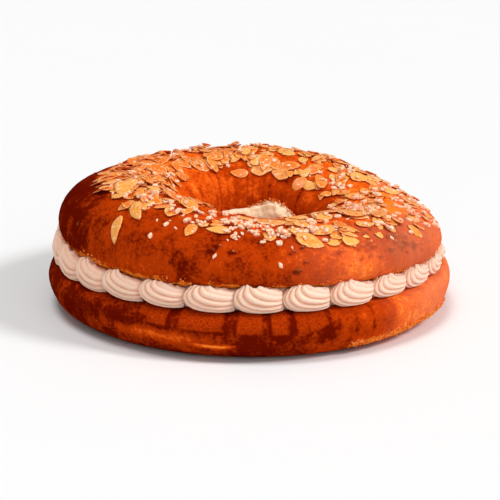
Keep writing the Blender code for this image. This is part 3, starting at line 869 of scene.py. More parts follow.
def piped_shell(sizes, middle, rng):
    """One closed shell at its place, how much painted shade each point has, and how many rings and spokes it
    has.

    Its top edge is torn where the top half has pressed on it. The shells at the left have painted shade all
    over, and every shell has painted shade in its grooves.
    """
    grid, groove_shade = shell_grid(sizes.ridges, sizes.ridge_depth * rng.uniform(0.8, 1.15), rng)
    grid = grid * (rng.uniform(0.98, 1.03), rng.uniform(0.94, 1.06), rng.uniform(0.98, 1.03))
    ends = grid[[0, -1]].mean(axis=1) + ((0.02, 0, 0.1), (0.02, 0, 0))
    closed = np.concatenate([ends[:1], grid.reshape(-1, 3), ends[1:]])
    shell = piped(closed, middle)
    torn = np.maximum(0, closed[:, 2] - 0.75)
    shell[:, 2] += 5 * MM * torn * noise(shell * (1, 1, 0.4), 2.2 * MM, 6)
    shell += 0.35 * MM * noise(shell, 7 * MM, 8)[:, None] * around(middle, 1.0, 0.4)
    shell += 0.10 * MM * noise(shell, 2.4 * MM, 7)[:, None]
    # Painted shade over the shells at the left, at most half as deep as in a groove.
    left_shade = 0.5 * ease(-math.sin(middle), 0.1, 0.9)
    shell_shade = np.maximum(left_shade, np.concatenate([[0], groove_shade.ravel(), [0]]))
    return shell, shell_shade, grid.shape[:2]


def build_piped_cream(sizes, colours):
    rng = random.Random(SEED + 4)
    points, faces, grooves = [], [], []
    start = 0
    for index in range(SHELL_COUNT):
        middle = SHELL_START + (index + 0.5) * SHELL_PITCH
        shell, shell_shade, counts = piped_shell(sizes, middle, rng)
        points.append(shell)
        grooves.append(shell_shade)
        faces += shell_faces(start, *counts)
        start += len(shell)
    core_points, core_faces = cream_core()
    points.append(core_points.reshape(-1, 3))
    faces += (core_faces + start).tolist()
    grooves.append(np.zeros(core_points.size // 3))
    piece = new_piece(
        "piped_cream",
        np.concatenate(points),
        faces,
        [cream_finish(colours)],
        "cream_filling",
    )
    # How much painted shade the cream has, in its grooves and over the shells at the left.
    set_values(piece, "groove_shade", np.concatenate(grooves))
    # Painted light on the cream's mound in the hole.
    welled = np.minimum(1, 1.5 * mound_share(np.arctan2(core_points[..., 0], -core_points[..., 1])))
    welled *= np.hypot(core_points[..., 0], core_points[..., 1]) < CREAM_INNER + 1 * MM
    set_values(piece, "mound", np.concatenate([np.zeros(start), welled.ravel()]))
    return piece


def shell_faces(start, rings, spokes):
    """The faces of one closed shell: a fan at either end and quads between the rings."""
    first = start + 1
    last = first + rings * spokes
    faces = []
    for spoke in range(spokes):
        beyond = (spoke + 1) % spokes
        faces.append((start, first + beyond, first + spoke))
        faces.append((last, last - spokes + spoke, last - spokes + beyond))
        for ring in range(rings - 1):
            low = first + ring * spokes
            faces.append((low + spoke, low + beyond, low + spokes + beyond, low + spokes + spoke))
    return faces


def mound_share(bearing):
    """How much of its full height the mound in the hole has at a bearing."""
    return sum(
        share * np.exp(-(np.abs(turned_from(bearing, math.radians(middle)) / math.radians(width)) ** blunt))
        for middle, width, share, blunt in MOUND_HEAPS
    )


def cream_core():
    """The body of the filling behind the shells, lumpy where it shows inside the hole."""
    corners = np.array(
        [
            (CREAM_INNER, 1.0),
            (CREAM_OUTER, 1.0),
            (CREAM_OUTER, 0.0),
            (BOTTOM_CUT_INNER, 0.0),
            (CREAM_INNER - 0.55 * CREAM_BULGE, 0.08),
            (CREAM_INNER - 0.9 * CREAM_BULGE, 0.25),
            (CREAM_INNER - CREAM_BULGE, 0.6),
            (CREAM_INNER - 0.85 * CREAM_BULGE, 0.82),
            (CREAM_INNER - 0.55 * CREAM_BULGE, 0.94),
            (CREAM_INNER - MOUND_BACK, 1.0),
        ]
    )
    counts = (10, 3, 10, 4, 4, 5, 5, 4, 4, 3)
    outline = np.concatenate(
        [
            np.linspace(corner, following, steps, endpoint=False)
            for corner, following, steps in zip(corners, np.roll(corners, -1, 0), counts)
        ]
    )
    turns = np.linspace(-math.pi, math.pi, CORE_STEPS, endpoint=False)
    bearing = np.repeat(turns[:, None], len(outline), axis=1)
    radius = np.repeat(outline[None, :, 0], CORE_STEPS, axis=0)
    share = np.repeat(outline[None, :, 1], CORE_STEPS, axis=0)
    mound = mound_share(bearing)
    inside = np.clip((CREAM_INNER - radius) / CREAM_BULGE, 0, 1)
    raised = np.clip((CREAM_INNER - radius) / MOUND_BACK, 0, 1)
    lump = np.abs(np.sin(0.5 * LUMP_COUNT * bearing + 0.35 * np.sin(2 * bearing)))
    radius = radius + inside * (LUMP_DEPTH * (1 - lump) - MOUND_DEPTH * mound)
    low = BOTTOM_HEIGHT + GAP
    high = cut_height(bearing, radius) - GAP
    height = low + share * (high - low) + raised * share * share * mound * MOUND_RISE
    points = around(bearing, radius, height)
    shift = inside * (0.9 * MM * noise(points, 7 * MM, 1) + 0.5 * MM * noise(points, 2.5 * MM, 2))
    shift += raised * mound * (1.1 * MM * noise(points, 4 * MM, 3) + 0.6 * MM * noise(points, 1.8 * MM, 5))
    points += shift[..., None] * around(bearing, -1.0, 0.4)
    return points, ring_faces(CORE_STEPS, len(outline))


# The toppings.


def is_topped(bearing, slope):
    """Whether a place is in the band of toppings, which is narrowest at the left."""
    leftness = math.exp(-(((math.degrees(bearing) + 95) / 35) ** 2))
    outer_edge = 0.52 + 0.08 * math.sin(bearing) - 0.25 * leftness
    inner_edge = -0.47 - 0.08 * math.sin(3 * bearing + 1)
    return inner_edge < slope < outer_edge


def crest_point(bearing, slope):
    """A point of the top crust from its bearing and its slope."""
    return crust(bearing, *place_of_slope(slope))


def scattered(rng, number, spacing, taken, distance):
    """The places that the solid's own toppings have, drawn in the same order."""
    others = [crest_point(*place) for place in taken]
    places = []
    points = []
    while len(places) < number:
        bearing = rng.uniform(-math.pi, math.pi)
        slope = rng.uniform(-0.6, 0.65)
        if not is_topped(bearing, slope):
            continue
        point = crest_point(bearing, slope)
        if any(np.linalg.norm(point - other) < spacing for other in points):
            continue
        if any(np.linalg.norm(point - other) < distance for other in others):
            continue
        places.append((bearing, slope))
        points.append(point)
    return places


def solid_flakes():
    """Bearing, slope and turn of each flake that the solid has."""
    rng = random.Random(SEED)
    alone = [(math.radians(bearing), slope) for bearing, slope, _ in LONE_FLAKES]
    turns = [math.radians(turn) for _, _, turn in LONE_FLAKES]
    strewn = scattered(rng, SOLID_FLAKES - len(alone), SOLID_FLAKE_SPACING, alone, SOLID_FLAKE_SPACING)
    turns += [rng.uniform(0, math.pi) for _ in strewn]
    return [(*place, turn) for place, turn in zip(alone + strewn, turns)]


def solid_nibs():
    """Bearing and slope of each nib that the solid has."""
    rng = random.Random(SEED + 2)
    alone = [(math.radians(bearing), slope) for bearing, slope in LONE_NIBS]
    flakes = [(bearing, slope) for bearing, slope, _ in solid_flakes()]
    number = SOLID_NIBS - len(alone)
    return alone + scattered(rng, number, SOLID_NIB_SPACING, flakes, SOLID_NIB_DISTANCE)


class Pile:
    """How high the toppings stand over the crust so far, on a grid of bearing and fall."""

    CELL = 1 * MM

    def __init__(self):
        self.turns = int(2 * math.pi * TOP_CREST / self.CELL)
        self.falls = int((FALL_OUTER - FALL_INNER) / self.CELL) + 2
        self.heights = np.zeros((self.turns, self.falls))

    def cell(self, bearing, fall):
        turn = np.floor(bearing / (2 * math.pi) * self.turns).astype(int) % self.turns
        row = np.clip(((fall - FALL_INNER) / self.CELL).astype(int), 0, self.falls - 1)
        return turn, row

    def height(self, bearing, fall):
        return self.heights[self.cell(bearing, fall)]

    def raise_to(self, bearing, fall, height):
        np.maximum.at(self.heights, self.cell(bearing, fall), height)


def spread(x, y, bearing, fall, turn):
    """Where points of a small flat thing come to lie, when it is turned and laid on the crust."""
    along = x * math.cos(turn) - y * math.sin(turn)
    down = x * math.sin(turn) + y * math.cos(turn)
    return bearing + along / crust_radius(fall), fall + down


def over_crust(bearing, fall, height):
    """Points that stand off the top crust by a height."""
    return crust_at(bearing, fall) + crust_normal(bearing, fall) * height[..., None]


def flake_outline(kind):
    """The outline of a flake of unit half length and width: whole, round or broken across."""
    angle = np.linspace(0, 2 * math.pi, FLAKE_SPOKES, endpoint=False)
    x = np.cos(angle)
    y = np.sign(np.sin(angle)) * np.abs(np.sin(angle)) ** 1.08
    if kind == "whole":
        y = y * (1 - 0.30 * x - 0.10 * x * x)
    elif kind == "round":
        y = y * (1 - 0.08 * x)
    else:
        y = y * (1 - 0.2 * x)
        x = np.where(x < -0.1, -0.1 + 0.12 * np.sin(5 * y), x)
    return np.stack([x, y], axis=-1)


# The rings of a flake, from the middle of its face round its rim: how far out each one is, and how
# high in the flake's thickness.
FLAKE_SHELLS = ((0.0, 0.5), (0.5, 0.5), (0.86, 0.48), (1.0, 0.12), (1.0, -0.12), (0.88, -0.48), (0.5, -0.5))


def flake_faces(start):
    """The faces of one flake: a point above, rings down over the rim, and a point below."""
    rings = len(FLAKE_SHELLS) - 1
    faces = []
    last = start + 1 + rings * FLAKE_SPOKES
    base = last - FLAKE_SPOKES
    for spoke in range(FLAKE_SPOKES):
        beyond = (spoke + 1) % FLAKE_SPOKES
        faces.append((start, start + 1 + spoke, start + 1 + beyond))
        for ring in range(rings - 1):
            low = start + 1 + ring * FLAKE_SPOKES
            high = low + FLAKE_SPOKES
            faces.append((low + beyond, low + spoke, high + spoke, high + beyond))
        faces.append((last, base + beyond, base + spoke))
    return faces


def at_near_rim(bearing, slope):
    """Whether a place is where the near rim of the hole is lowest, and thinly strewn."""
    return -26 < math.degrees(bearing) < 40 and slope < 0.02


def flake_density(bearing, slope):
    """How thickly the flakes lie, from 0 to 1: most at the left and along the inner side."""
    turned = math.degrees(bearing)
    left = math.exp(-(((turned + 95) / 62) ** 2))
    back = math.exp(-(((abs(turned) - 180) / 50) ** 2))
    front = math.exp(-(((turned + 8) / 26) ** 2)) * (0.35 + 0.65 * min(1, max(0, slope / 0.3)))
    right = math.exp(-(((turned - 85) / 45) ** 2))
    thin = 0.25 if at_near_rim(bearing, slope) else 1
    return thin * min(1, max(0.10, 0.42 + 0.6 * left + 0.25 * back - 0.42 * front - 0.22 * right))


def heaped(bearing):
    """How much a bearing is in the heap of narrow, steep flakes at the left."""
    return math.exp(-(((math.degrees(math.remainder(bearing, 2 * math.pi)) + 92) / 50) ** 2))


def flake_turn(rng, bearing):
    """How a flake is turned: any way, but mostly across the ring at the left."""
    if rng.random() < 0.8 * heaped(bearing):
        return rng.choice((0.5, 1.5)) * math.pi + rng.gauss(0, 0.35)
    return rng.uniform(0, 2 * math.pi)


# How high the toppings pile up: bearings in degrees, and millimetres between them.
PILE_LIMITS = (
    (-180, 6.2),
    (-160, 7.0),
    (-150, 1.2),
    (-120, 1.2),
    (-110, 4.0),
    (-30, 3.6),
    (-20, 2.4),
    (35, 2.4),
    (50, 3.2),
    (80, 2.2),
    (98, 1.4),
    (112, 1.4),
    (118, 3.0),
    (128, 1.6),
    (146, 1.6),
    (158, 4.0),
    (180, 6.2),
)


def pile_limit(bearing):
    """How high the toppings may pile up at a bearing."""
    turned, limits = zip(*PILE_LIMITS)
    return np.interp(math.degrees(math.remainder(bearing, 2 * math.pi)), turned, limits) * MM


def settled(pile, rng, outline, leftness, place):
    """How a flake leans and how high it lies, on what is already under it at its place."""
    probes = np.concatenate([[(0, 0)], 0.5 * outline[::3], 0.92 * outline[::2]])
    x, y = probes[:, 0], probes[:, 1]
    under = pile.height(*spread(x, y, *place))
    fit = np.linalg.lstsq(np.stack([np.ones_like(x), x, y], axis=-1), under, rcond=None)[0]
    tip = 0.06 + 0.16 * leftness
    most = 0.30 + 0.15 * leftness
    lean = np.clip(fit[1:] + (rng.gauss(0, tip), rng.gauss(0, tip)), -most, most)
    return lean, np.quantile(under - lean[0] * x - lean[1] * y, 0.75) - 0.1 * MM


def lay_flake(pile, rng, sizes, place, kind, growth):
    """Lays one flake on what is already there, and returns its points, rims and level.

    Its place is its bearing, its fall and how it is turned.
    """
    leftness = heaped(place[0])
    size = growth * rng.uniform(0.74 - 0.1 * leftness, 1.16)
    half_length = 0.5 * size * sizes.flake_length * (1 + 0.1 * leftness)
    half_width = 0.5 * size * sizes.flake_width * rng.uniform(0.8 - 0.25 * leftness, 1.1 - 0.1 * leftness)
    thickness = sizes.flake_thickness * rng.uniform(0.8, 1.25)
    angle = np.linspace(0, 2 * math.pi, FLAKE_SPOKES, endpoint=False)
    nicks = sum(
        rng.uniform(-0.06, 0.06) * np.cos(waves * angle + rng.uniform(0, 6)) for waves in (2, 3, 5)
    )
    outline = flake_outline(kind) * (1 + nicks[:, None]) * (half_length, half_width)
    lean, level = settled(pile, rng, outline, leftness, place)
    curl = rng.uniform(-0.2, 0.8) * MM / half_length**2
    cup = rng.uniform(-0.3, 0.6) * MM / half_width**2

    def underside(x, y):
        return level + lean[0] * x + lean[1] * y + curl * x * x + cup * y * y

    points, rims = [], []
    for out, up in FLAKE_SHELLS:
        ring = out * outline if out else np.zeros((1, 2))
        x, y = ring[:, 0], ring[:, 1]
        height = underside(x, y) + (0.5 + up) * thickness
        points.append(over_crust(*spread(x, y, *place), height))
        rims.append(np.full(len(ring), max(0, (out - 0.5) / 0.5) if out else 0.0))
    points.append(points[-1].mean(axis=0, keepdims=True))
    rims.append(np.zeros(1))
    marks = np.linspace(-1, 1, 15)
    x, y = [axis.ravel() for axis in np.meshgrid(marks * half_length, marks * half_width)]
    inside = (x / half_length) ** 2 + (y / half_width) ** 2 < 0.85
    x, y = x[inside], y[inside]
    if level <= pile_limit(place[0]):
        pile.raise_to(*spread(x, y, *place), underside(x, y) + thickness)
    return np.concatenate(points), np.concatenate(rims), level


def build_almond_flakes(sizes, colours, pile):
    rng = random.Random(SEED + 5)
    places = [(bearing, float(fall_of(slope)), turn) for bearing, slope, turn in solid_flakes()]
    while len(places) < sizes.flakes:
        bearing = rng.uniform(-math.pi, math.pi)
        slope = rng.uniform(-0.62, 0.62)
        if is_topped(bearing, slope) and rng.random() < flake_density(bearing, slope):
            places.append((bearing, float(fall_of(slope)), flake_turn(rng, bearing)))
    strewn = len(places)
    for bearing, slope, turn, _ in UPPER_FLAKES:
        places.append((math.radians(bearing), float(fall_of(slope)), math.radians(turn)))
    points, faces, rims, tones = [], [], [], []
    start = 0
    for index, place in enumerate(places):
        kind, growth = "whole", 1.0
        if index >= strewn:
            growth = UPPER_FLAKES[index - strewn][3]
        elif index >= SOLID_FLAKES:
            kind = rng.choices(("whole", "round", "broken"), (0.5, 0.15, 0.35))[0]
            growth = rng.choice((1, 1, 1, 0.62, 1.12))
        flake, rim, level = lay_flake(pile, rng, sizes, place, kind, growth)
        if index < strewn and level > pile_limit(place[0]):
            continue
        points.append(flake)
        faces += flake_faces(start)
        rims.append(rim)
        tones.append(np.full(len(flake), rng.random() + 0.9 * near(place[0], -130, 34)))
        start += len(flake)
    piece = new_piece(
        "almond_flakes",
        np.concatenate(points),
        faces,
        [almond_finish(colours)],
        "top_bread",
    )
    set_values(piece, "rim", np.concatenate(rims))
    set_values(piece, "tone", np.concatenate(tones))
    return piece


def lump_shape(name, subdivisions):
    """The points and faces of a ball of triangles of unit radius."""
    builder = bpy.data.meshes.new(name)
    ball = bmesh.new()
    bmesh.ops.create_icosphere(ball, subdivisions=subdivisions, radius=1)
    ball.to_mesh(builder)
    ball.free()
    points = np.array([vertex.co for vertex in builder.vertices])
    faces = np.array([list(face.vertices) for face in builder.polygons])
    bpy.data.meshes.remove(builder)
    return points, faces


def nib_density(bearing, slope):
    """How thickly the nibs lie: in a heap along the front, and well strewn at the right."""
    turned = math.degrees(bearing)
    front = math.exp(-(((turned + 6) / 25) ** 2)) * math.exp(-(((slope - 0.20) / 0.17) ** 2))
    right = math.exp(-(((turned - 85) / 45) ** 2)) * 0.17
    left = math.exp(-(((turned + 46) / 14) ** 2)) * math.exp(-(((slope - 0.1) / 0.2) ** 2)) * 0.06
    thin = 0.2 if at_near_rim(bearing, slope) else 1
    return thin * min(1, 0.045 + front + right + left)


def build_sugar_nibs(sizes, colours, pile):
    rng = random.Random(SEED + 6)
    shapes = np.random.default_rng(SEED + 7)
    ball, ball_faces = lump_shape("nib", 2)
    places = [(bearing, float(fall_of(slope))) for bearing, slope in solid_nibs()]
    while len(places) < sizes.nibs:
        bearing = rng.uniform(-math.pi, math.pi)
        slope = rng.uniform(-0.66, 0.66)
        if is_topped(bearing, 0.93 * slope) and rng.random() < nib_density(bearing, slope):
            places.append((bearing, float(fall_of(slope))))
            for _ in range(rng.choice((0, 0, 1, 2))):
                along, down = rng.gauss(0, 3) * MM, rng.gauss(0, 3) * MM
                placed = places[-1]
                places.append((placed[0] + along / TOP_CREST, placed[1] + down))
    points, faces = [], []
    for bearing, fall in places:
        grow = rng.choice((0.5, 0.65, 0.8, 0.95, 1.1, 1.2)) * rng.uniform(0.85, 1.1)
        stretch = np.array((1.2, rng.uniform(0.5, 0.95), rng.uniform(0.45, 0.75))) * grow * sizes.nib_radius
        knobs = ball * (1 + 0.45 * noise(ball + shapes.uniform(0, 30, 3), 0.9, 4)[:, None])
        knobs = np.sign(knobs) * np.abs(knobs) ** 0.62
        knobs[:, 0] += 0.4 * shapes.uniform(-1, 1) * knobs[:, 1]
        knobs = knobs * stretch
        turn = rng.uniform(0, math.pi)
        where = spread(knobs[:, 0], knobs[:, 1], bearing, fall, turn)
        under = float(pile.height(np.array(bearing), np.array(fall)))
        if under > pile_limit(bearing) + NIB_HEAP:
            continue
        level = under + 0.62 * stretch[2]
        points.append(over_crust(*where, level + knobs[:, 2]))
        faces.append(ball_faces + len(faces) * len(ball))
        pile.raise_to(*where, level + 0.6 * stretch[2])
    piece = new_piece(
        "sugar_nibs",
        np.concatenate(points),
        np.concatenate(faces).tolist(),
        [sugar_finish(colours)],
        "top_bread",
    )
    piece.data.shade_flat()
    return piece


def crumb_places(rng, number):
    """Where the loose crumbs cling: the top half's torn edge, the base's lip and the cream's mound."""
    places = []
    while len(places) < number:
        draw = rng.random()
        if draw < 0.55:
            bearing = rng.uniform(-math.pi, math.pi)
            fall = FALL_OUTER - (9.5 + rng.gauss(0, 1.4)) * MM
            if noise(np.array((bearing, fall, 0.0)) * (TOP_CREST, 1, 1), 6 * MM, 2) < 0:
                continue
            places.append(crust_at(bearing, fall) + 0.2 * MM * crust_normal(bearing, fall))
        elif draw < 0.9:
            turned = rng.uniform(28, 72)
            height = float(lip_height(turned)) + rng.gauss(0, 1.8) * MM
            sunk = (BOTTOM_WAIST - height) / BOTTOM_WAIST
            reach = math.sqrt(max(0, 1 - sunk * sunk))
            radius = FOOT_OUTER + (OUTER_RADIUS - FOOT_OUTER) * reach + 1.2 * MM
            places.append(around(math.radians(turned), radius, max(0.6 * MM, height)))
        else:
            bearing = math.radians(rng.uniform(122, 182))
            mound = float(mound_share(bearing))
            radius = 48.3 * MM - 1.2 * MM * mound * rng.random()
            top = float(cut_height(bearing, radius)) + rng.uniform(0.9, 1.1) * MOUND_RISE * mound
            places.append(around(bearing, radius, top))
    return places


def build_crumbs(sizes, colours):
    rng = random.Random(SEED + 8)
    shapes = np.random.default_rng(SEED + 9)
    ball, ball_faces = lump_shape("crumb", 1)
    points, faces = [], []
    for index, place in enumerate(crumb_places(rng, sizes.crumbs)):
        grow = sizes.crumb_radius * rng.uniform(0.45, 1.0) * rng.choice((1, 1, 1.8))
        grow = grow * shapes.uniform(0.5, 1.3, 3)
        knobs = ball * (1 + 0.3 * shapes.uniform(-1, 1, (len(ball), 1)))
        points.append(place + knobs * grow)
        faces.append(ball_faces + index * len(ball))
    return new_piece(
        "loose_crumbs",
        np.concatenate(points),
        np.concatenate(faces).tolist(),
        [loose_crumb_finish(colours)],
        "top_bread",
    )


# Finishes.


class Finish:
    """A node material under way: each method adds a node and returns its output."""

    def __init__(self, name):
        old = bpy.data.materials.get(name)
        if old is not None:
            bpy.data.materials.remove(old)
        self.material = bpy.data.materials.new(name)
        self.material.use_nodes = True
        self.tree = self.material.node_tree
        self.shader = self.tree.nodes["Principled BSDF"]
        self.place = self.add("ShaderNodeTexCoord").outputs["Object"]

    def add(self, kind, inputs=(), **settings):
        node = self.tree.nodes.new(kind)
        for name, value in settings.items():
            setattr(node, name, value)
        for socket, value in dict(inputs).items():
            self.give(node.inputs[socket], value)
        return node

    def give(self, socket, value):
        if isinstance(value, bpy.types.NodeSocket):
            self.tree.links.new(value, socket)
        elif socket.type == "RGBA":
            socket.default_value = (*value, 1)
        else:
            socket.default_value = value

    def noise(self, size, detail=3.0, roughness=0.55, place=None):
        texture = self.add(
            "ShaderNodeTexNoise",
            {
                "Vector": place or self.place,
                "Scale": 1 / size,
                "Detail": detail,
                "Roughness": roughness,
            },
        )
        return texture.outputs["Fac"]

    def stretched(self, factors):
        mapping = self.add("ShaderNodeMapping", {"Vector": self.place, "Scale": factors})
        return mapping.outputs["Vector"]

    def attribute(self, name):
        return self.add("ShaderNodeAttribute", attribute_name=name).outputs["Fac"]

    def maths(self, operation, first, second):
        node = self.add("ShaderNodeMath", operation=operation)
        self.give(node.inputs[0], first)
        self.give(node.inputs[1], second)
        return node.outputs["Value"]

    def remap(self, value, low, high, to_low=0.0, to_high=1.0):
        node = self.add("ShaderNodeMapRange", interpolation_type="SMOOTHSTEP")
        for socket, given in zip(
            ("Value", "From Min", "From Max", "To Min", "To Max"),
            (value, low, high, to_low, to_high),
        ):
            self.give(node.inputs[socket], given)
        return node.outputs["Result"]

    def mix(self, share, first, second):
        node = self.add("ShaderNodeMix", data_type="RGBA")
        self.give(node.inputs[0], share)
        self.give(node.inputs[6], first)
        self.give(node.inputs[7], second)
        return node.outputs[2]

    def ramp(self, share, *stops):
        node = self.add("ShaderNodeValToRGB", {"Fac": share})
        node.color_ramp.interpolation = "EASE"
        elements = node.color_ramp.elements
        while len(elements) < len(stops):
            elements.new(1)
        for element, (position, tint) in zip(elements, stops):
            element.position = position
            element.color = (*tint, 1)
        return node.outputs["Color"]

    def bump(self, height, depth):
        inputs = {"Height": height, "Strength": 1.0, "Distance": depth}
        return self.add("ShaderNodeBump", inputs).outputs["Normal"]

    def done(self, **inputs):
        for socket, value in inputs.items():
            self.give(self.shader.inputs[socket.replace("_", " ")], value)
        return self.material


def browned_tint(finish, colours):
    """How the crust browns, with the painted sheen at its right and the glints on its blisters."""
    mottle = finish.noise(14 * MM, 4)
    grain = finish.noise(2.2 * MM, 3)
    streaks = finish.noise(9 * MM, 3, place=finish.stretched((1.6, 1.6, 0.35)))
    browned = finish.attribute("browned")
    for texture, most in ((mottle, 0.17), (streaks, 0.09), (grain, 0.13)):
        browned = finish.maths("ADD", browned, finish.remap(texture, 0.25, 0.75, -most, most))
    tint = finish.ramp(
        browned,
        (0.0, colours.crust_golden),
        (0.22, colours.crust_orange),
        (0.54, colours.crust_brown),
        (1.0, colours.crust_dark),
    )
    # Painted sheen, streaked like the crust.
    painted_sheen = finish.maths("MULTIPLY", finish.attribute("painted_sheen"), finish.remap(streaks, 0.3, 0.7, 0.6, 1.0))
    tint = finish.mix(painted_sheen, tint, colours.crust_painted_sheen)
    return finish.mix(finish.maths("MULTIPLY", finish.attribute("glint"), 0.6), tint, colours.crust_glint)


def patch_tint(finish, colours, speckle):
    """The grainy tint of the pale patches."""
    return finish.ramp(
        speckle,
        (0.25, colours.crust_dark),
        (0.55, colours.crust_brown),
        (0.85, colours.crust_orange),
    )


def torn_tint(finish, colours):
    """The golden, crumbly tint where the crust is torn."""
    return finish.ramp(
        finish.noise(1.7 * MM, 3, 0.7),
        (0.34, colours.crust_brown),
        (0.48, colours.crust_torn),
        (0.66, colours.crust_golden),
    )


def crust_finish(name, colours, roughness):
    """Egg-washed crust: mottled brown, grainy in its patches and golden where it is torn."""
    finish = Finish(name)
    patch = finish.attribute("patch")
    speckle = finish.noise(1.1 * MM, 2, 0.7)
    ragged = finish.maths("ADD", finish.attribute("torn"), finish.remap(speckle, 0.2, 0.8, -0.55, 0.35))
    torn = finish.remap(ragged, 0.35, 0.75)
    tint = browned_tint(finish, colours)
    tint = finish.mix(finish.maths("MULTIPLY", patch, 0.8), tint, patch_tint(finish, colours, speckle))
    tint = finish.mix(torn, tint, torn_tint(finish, colours))
    rough = finish.remap(finish.noise(5 * MM, 3), 0.25, 0.75, roughness - 0.08, roughness + 0.14)
    rough = finish.maths("ADD", rough, finish.maths("MULTIPLY", finish.maths("MAXIMUM", patch, torn), 0.2))
    fine = finish.maths("ADD", finish.noise(1.2 * MM, 3), finish.maths("MULTIPLY", speckle, patch))
    return finish.done(
        Base_Color=tint,
        Roughness=rough,
        Normal=finish.bump(fine, 0.10 * MM),
        Specular_IOR_Level=0.0,
    )


def crumb_finish(name, colours):
    """The open crumb of the cut faces."""
    finish = Finish(name)
    pores = finish.noise(1.6 * MM, 3, 0.65)
    tint = finish.ramp(pores, (0.3, colours.crumb_golden), (0.55, colours.crumb))
    return finish.done(Base_Color=tint, Roughness=0.85, Normal=finish.bump(pores, 0.6 * MM))


def loose_crumb_finish(colours):
    """Toasted crumbs, from orange to golden."""
    finish = Finish("toasted_crumb")
    shade = finish.noise(3 * MM, 2)
    tint = finish.ramp(
        shade,
        (0.3, colours.crust_orange),
        (0.5, colours.crust_golden),
        (0.75, colours.crumb_golden),
    )
    return finish.done(Base_Color=tint, Roughness=0.75, Normal=finish.bump(finish.noise(0.5 * MM), 0.2 * MM))


def cream_finish(colours):
    """Whipped cream, with warmer painted shade in its grooves and over the shells at the left, and painted
    light on its mound in the hole.
    """
    finish = Finish("piped_cream")
    groove_shade = finish.remap(finish.attribute("groove_shade"), 0.25, 1.0)
    soft = finish.noise(6 * MM, 2)
    share = finish.maths("MULTIPLY", groove_shade, finish.remap(soft, 0.2, 0.8, 0.4, 0.95))
    # Painted light on the mound in the hole.
    plain = finish.mix(finish.attribute("mound"), colours.cream, colours.cream_mound_light)
    # Painted shade in the grooves and over the shells at the left.
    tint = finish.mix(share, plain, colours.cream_groove_shade)
    rough = finish.remap(soft, 0.2, 0.8, 0.36, 0.52)
    return finish.done(
        Base_Color=tint,
        Roughness=rough,
        Specular_IOR_Level=0.2,
        Normal=finish.bump(finish.noise(0.9 * MM, 3), 0.06 * MM),
        Subsurface_Weight=0.35,
        Subsurface_Radius=(0.005, 0.003, 0.002),
        Subsurface_Scale=1.0,
    )


def almond_finish(colours):
    """Toasted flakes: pale faces with a browner rim and a painted highlight just inside it, some more
    toasted than others.
    """
    finish = Finish("toasted_almond")
    grain = finish.noise(2.6 * MM, 3)
    toast = finish.maths("ADD", finish.attribute("tone"), finish.remap(grain, 0.2, 0.8, -0.35, 0.35))
    tint = finish.mix(finish.remap(toast, 0.15, 1.0), colours.almond, colours.almond_toasted)
    glaze = finish.remap(finish.noise(3.4 * MM, 3, 0.6), 0.56, 0.65, 0, 0.85)
    tint = finish.mix(glaze, tint, colours.almond_glaze)
    skin = finish.maths("ADD", finish.attribute("rim"), finish.remap(grain, 0.2, 0.8, -0.2, 0.2))
    # Painted highlight along the edge of the face.
    tint = finish.mix(finish.remap(skin, 0.5, 0.8, 0, 0.7), tint, colours.almond_rim_highlight)
    tint = finish.mix(finish.remap(skin, 0.80, 1.02, 0, 0.95), tint, colours.almond_skin)
    return finish.done(
        Base_Color=tint,
        Roughness=finish.remap(grain, 0.2, 0.8, 0.25, 0.42),
        Specular_IOR_Level=0.3,
        Normal=finish.bump(finish.noise(0.8 * MM, 3), 0.12 * MM),
        Subsurface_Weight=0.25,
        Subsurface_Radius=(0.004, 0.002, 0.001),
        Subsurface_Scale=1.0,
    )


def sugar_finish(colours):
    """Rough sugar, warmer where it is clear."""
    finish = Finish("sugar_nib")
    shade = finish.noise(1.5 * MM, 3)
    tint = finish.mix(finish.remap(shade, 0.35, 0.7), colours.sugar, colours.sugar_deep)
    return finish.done(
        Base_Color=tint,
        Roughness=0.28,
        Specular_IOR_Level=0.4,
        Normal=finish.bump(finish.noise(0.7 * MM, 3), 0.12 * MM),
        Subsurface_Weight=0.3,
        Subsurface_Radius=(0.003, 0.002, 0.0015),
        Subsurface_Scale=1.0,
    )


def floor_finish(colours):
    finish = Finish("floor")
    shade = finish.noise(0.4, 2)
    tint = finish.mix(shade, colours.floor, [0.985 * part for part in colours.floor])
    return finish.done(Base_Color=tint, Roughness=0.7, Specular_IOR_Level=0.2)


# The stage.

CAMERA_TARGET = Vector((0, 0, 0.048))
CAMERA_DISTANCE = 1.2
CAMERA_ELEVATION = math.radians(15.7)
CAMERA_ROLL = math.radians(0.26)
CAMERA_LENS = 115.2
CAMERA_SENSOR = 36
CAMERA_SHIFT = -0.0272
FLOOR_HALF = 40.0


def add_sun(name, place, spread_degrees, strength):
    """A wide, soft lamp that is the same all over the floor, shining from a direction."""
    lamp = bpy.data.lights.new(name, "SUN")
    lamp.angle = math.radians(spread_degrees)
    lamp.energy = strength
    light = bpy.data.objects.new(name, lamp)
    light.rotation_euler = Vector(place).to_track_quat("Z", "Y").to_euler()
    bpy.context.scene.collection.objects.link(light)


def add_camera():
    lens = bpy.data.cameras.new("camera")
    lens.lens = CAMERA_LENS
    lens.sensor_width = CAMERA_SENSOR
    lens.shift_y = CAMERA_SHIFT
    camera = bpy.data.objects.new("camera", lens)
    back = Vector((0, -math.cos(CAMERA_ELEVATION), math.sin(CAMERA_ELEVATION)))
    camera.location = CAMERA_TARGET + back * CAMERA_DISTANCE
    aim = (-back).to_track_quat("-Z", "Y").to_matrix() @ Matrix.Rotation(CAMERA_ROLL, 3, "Z")
    camera.rotation_euler = aim.to_euler()
    bpy.context.scene.collection.objects.link(camera)
    bpy.context.scene.camera = camera


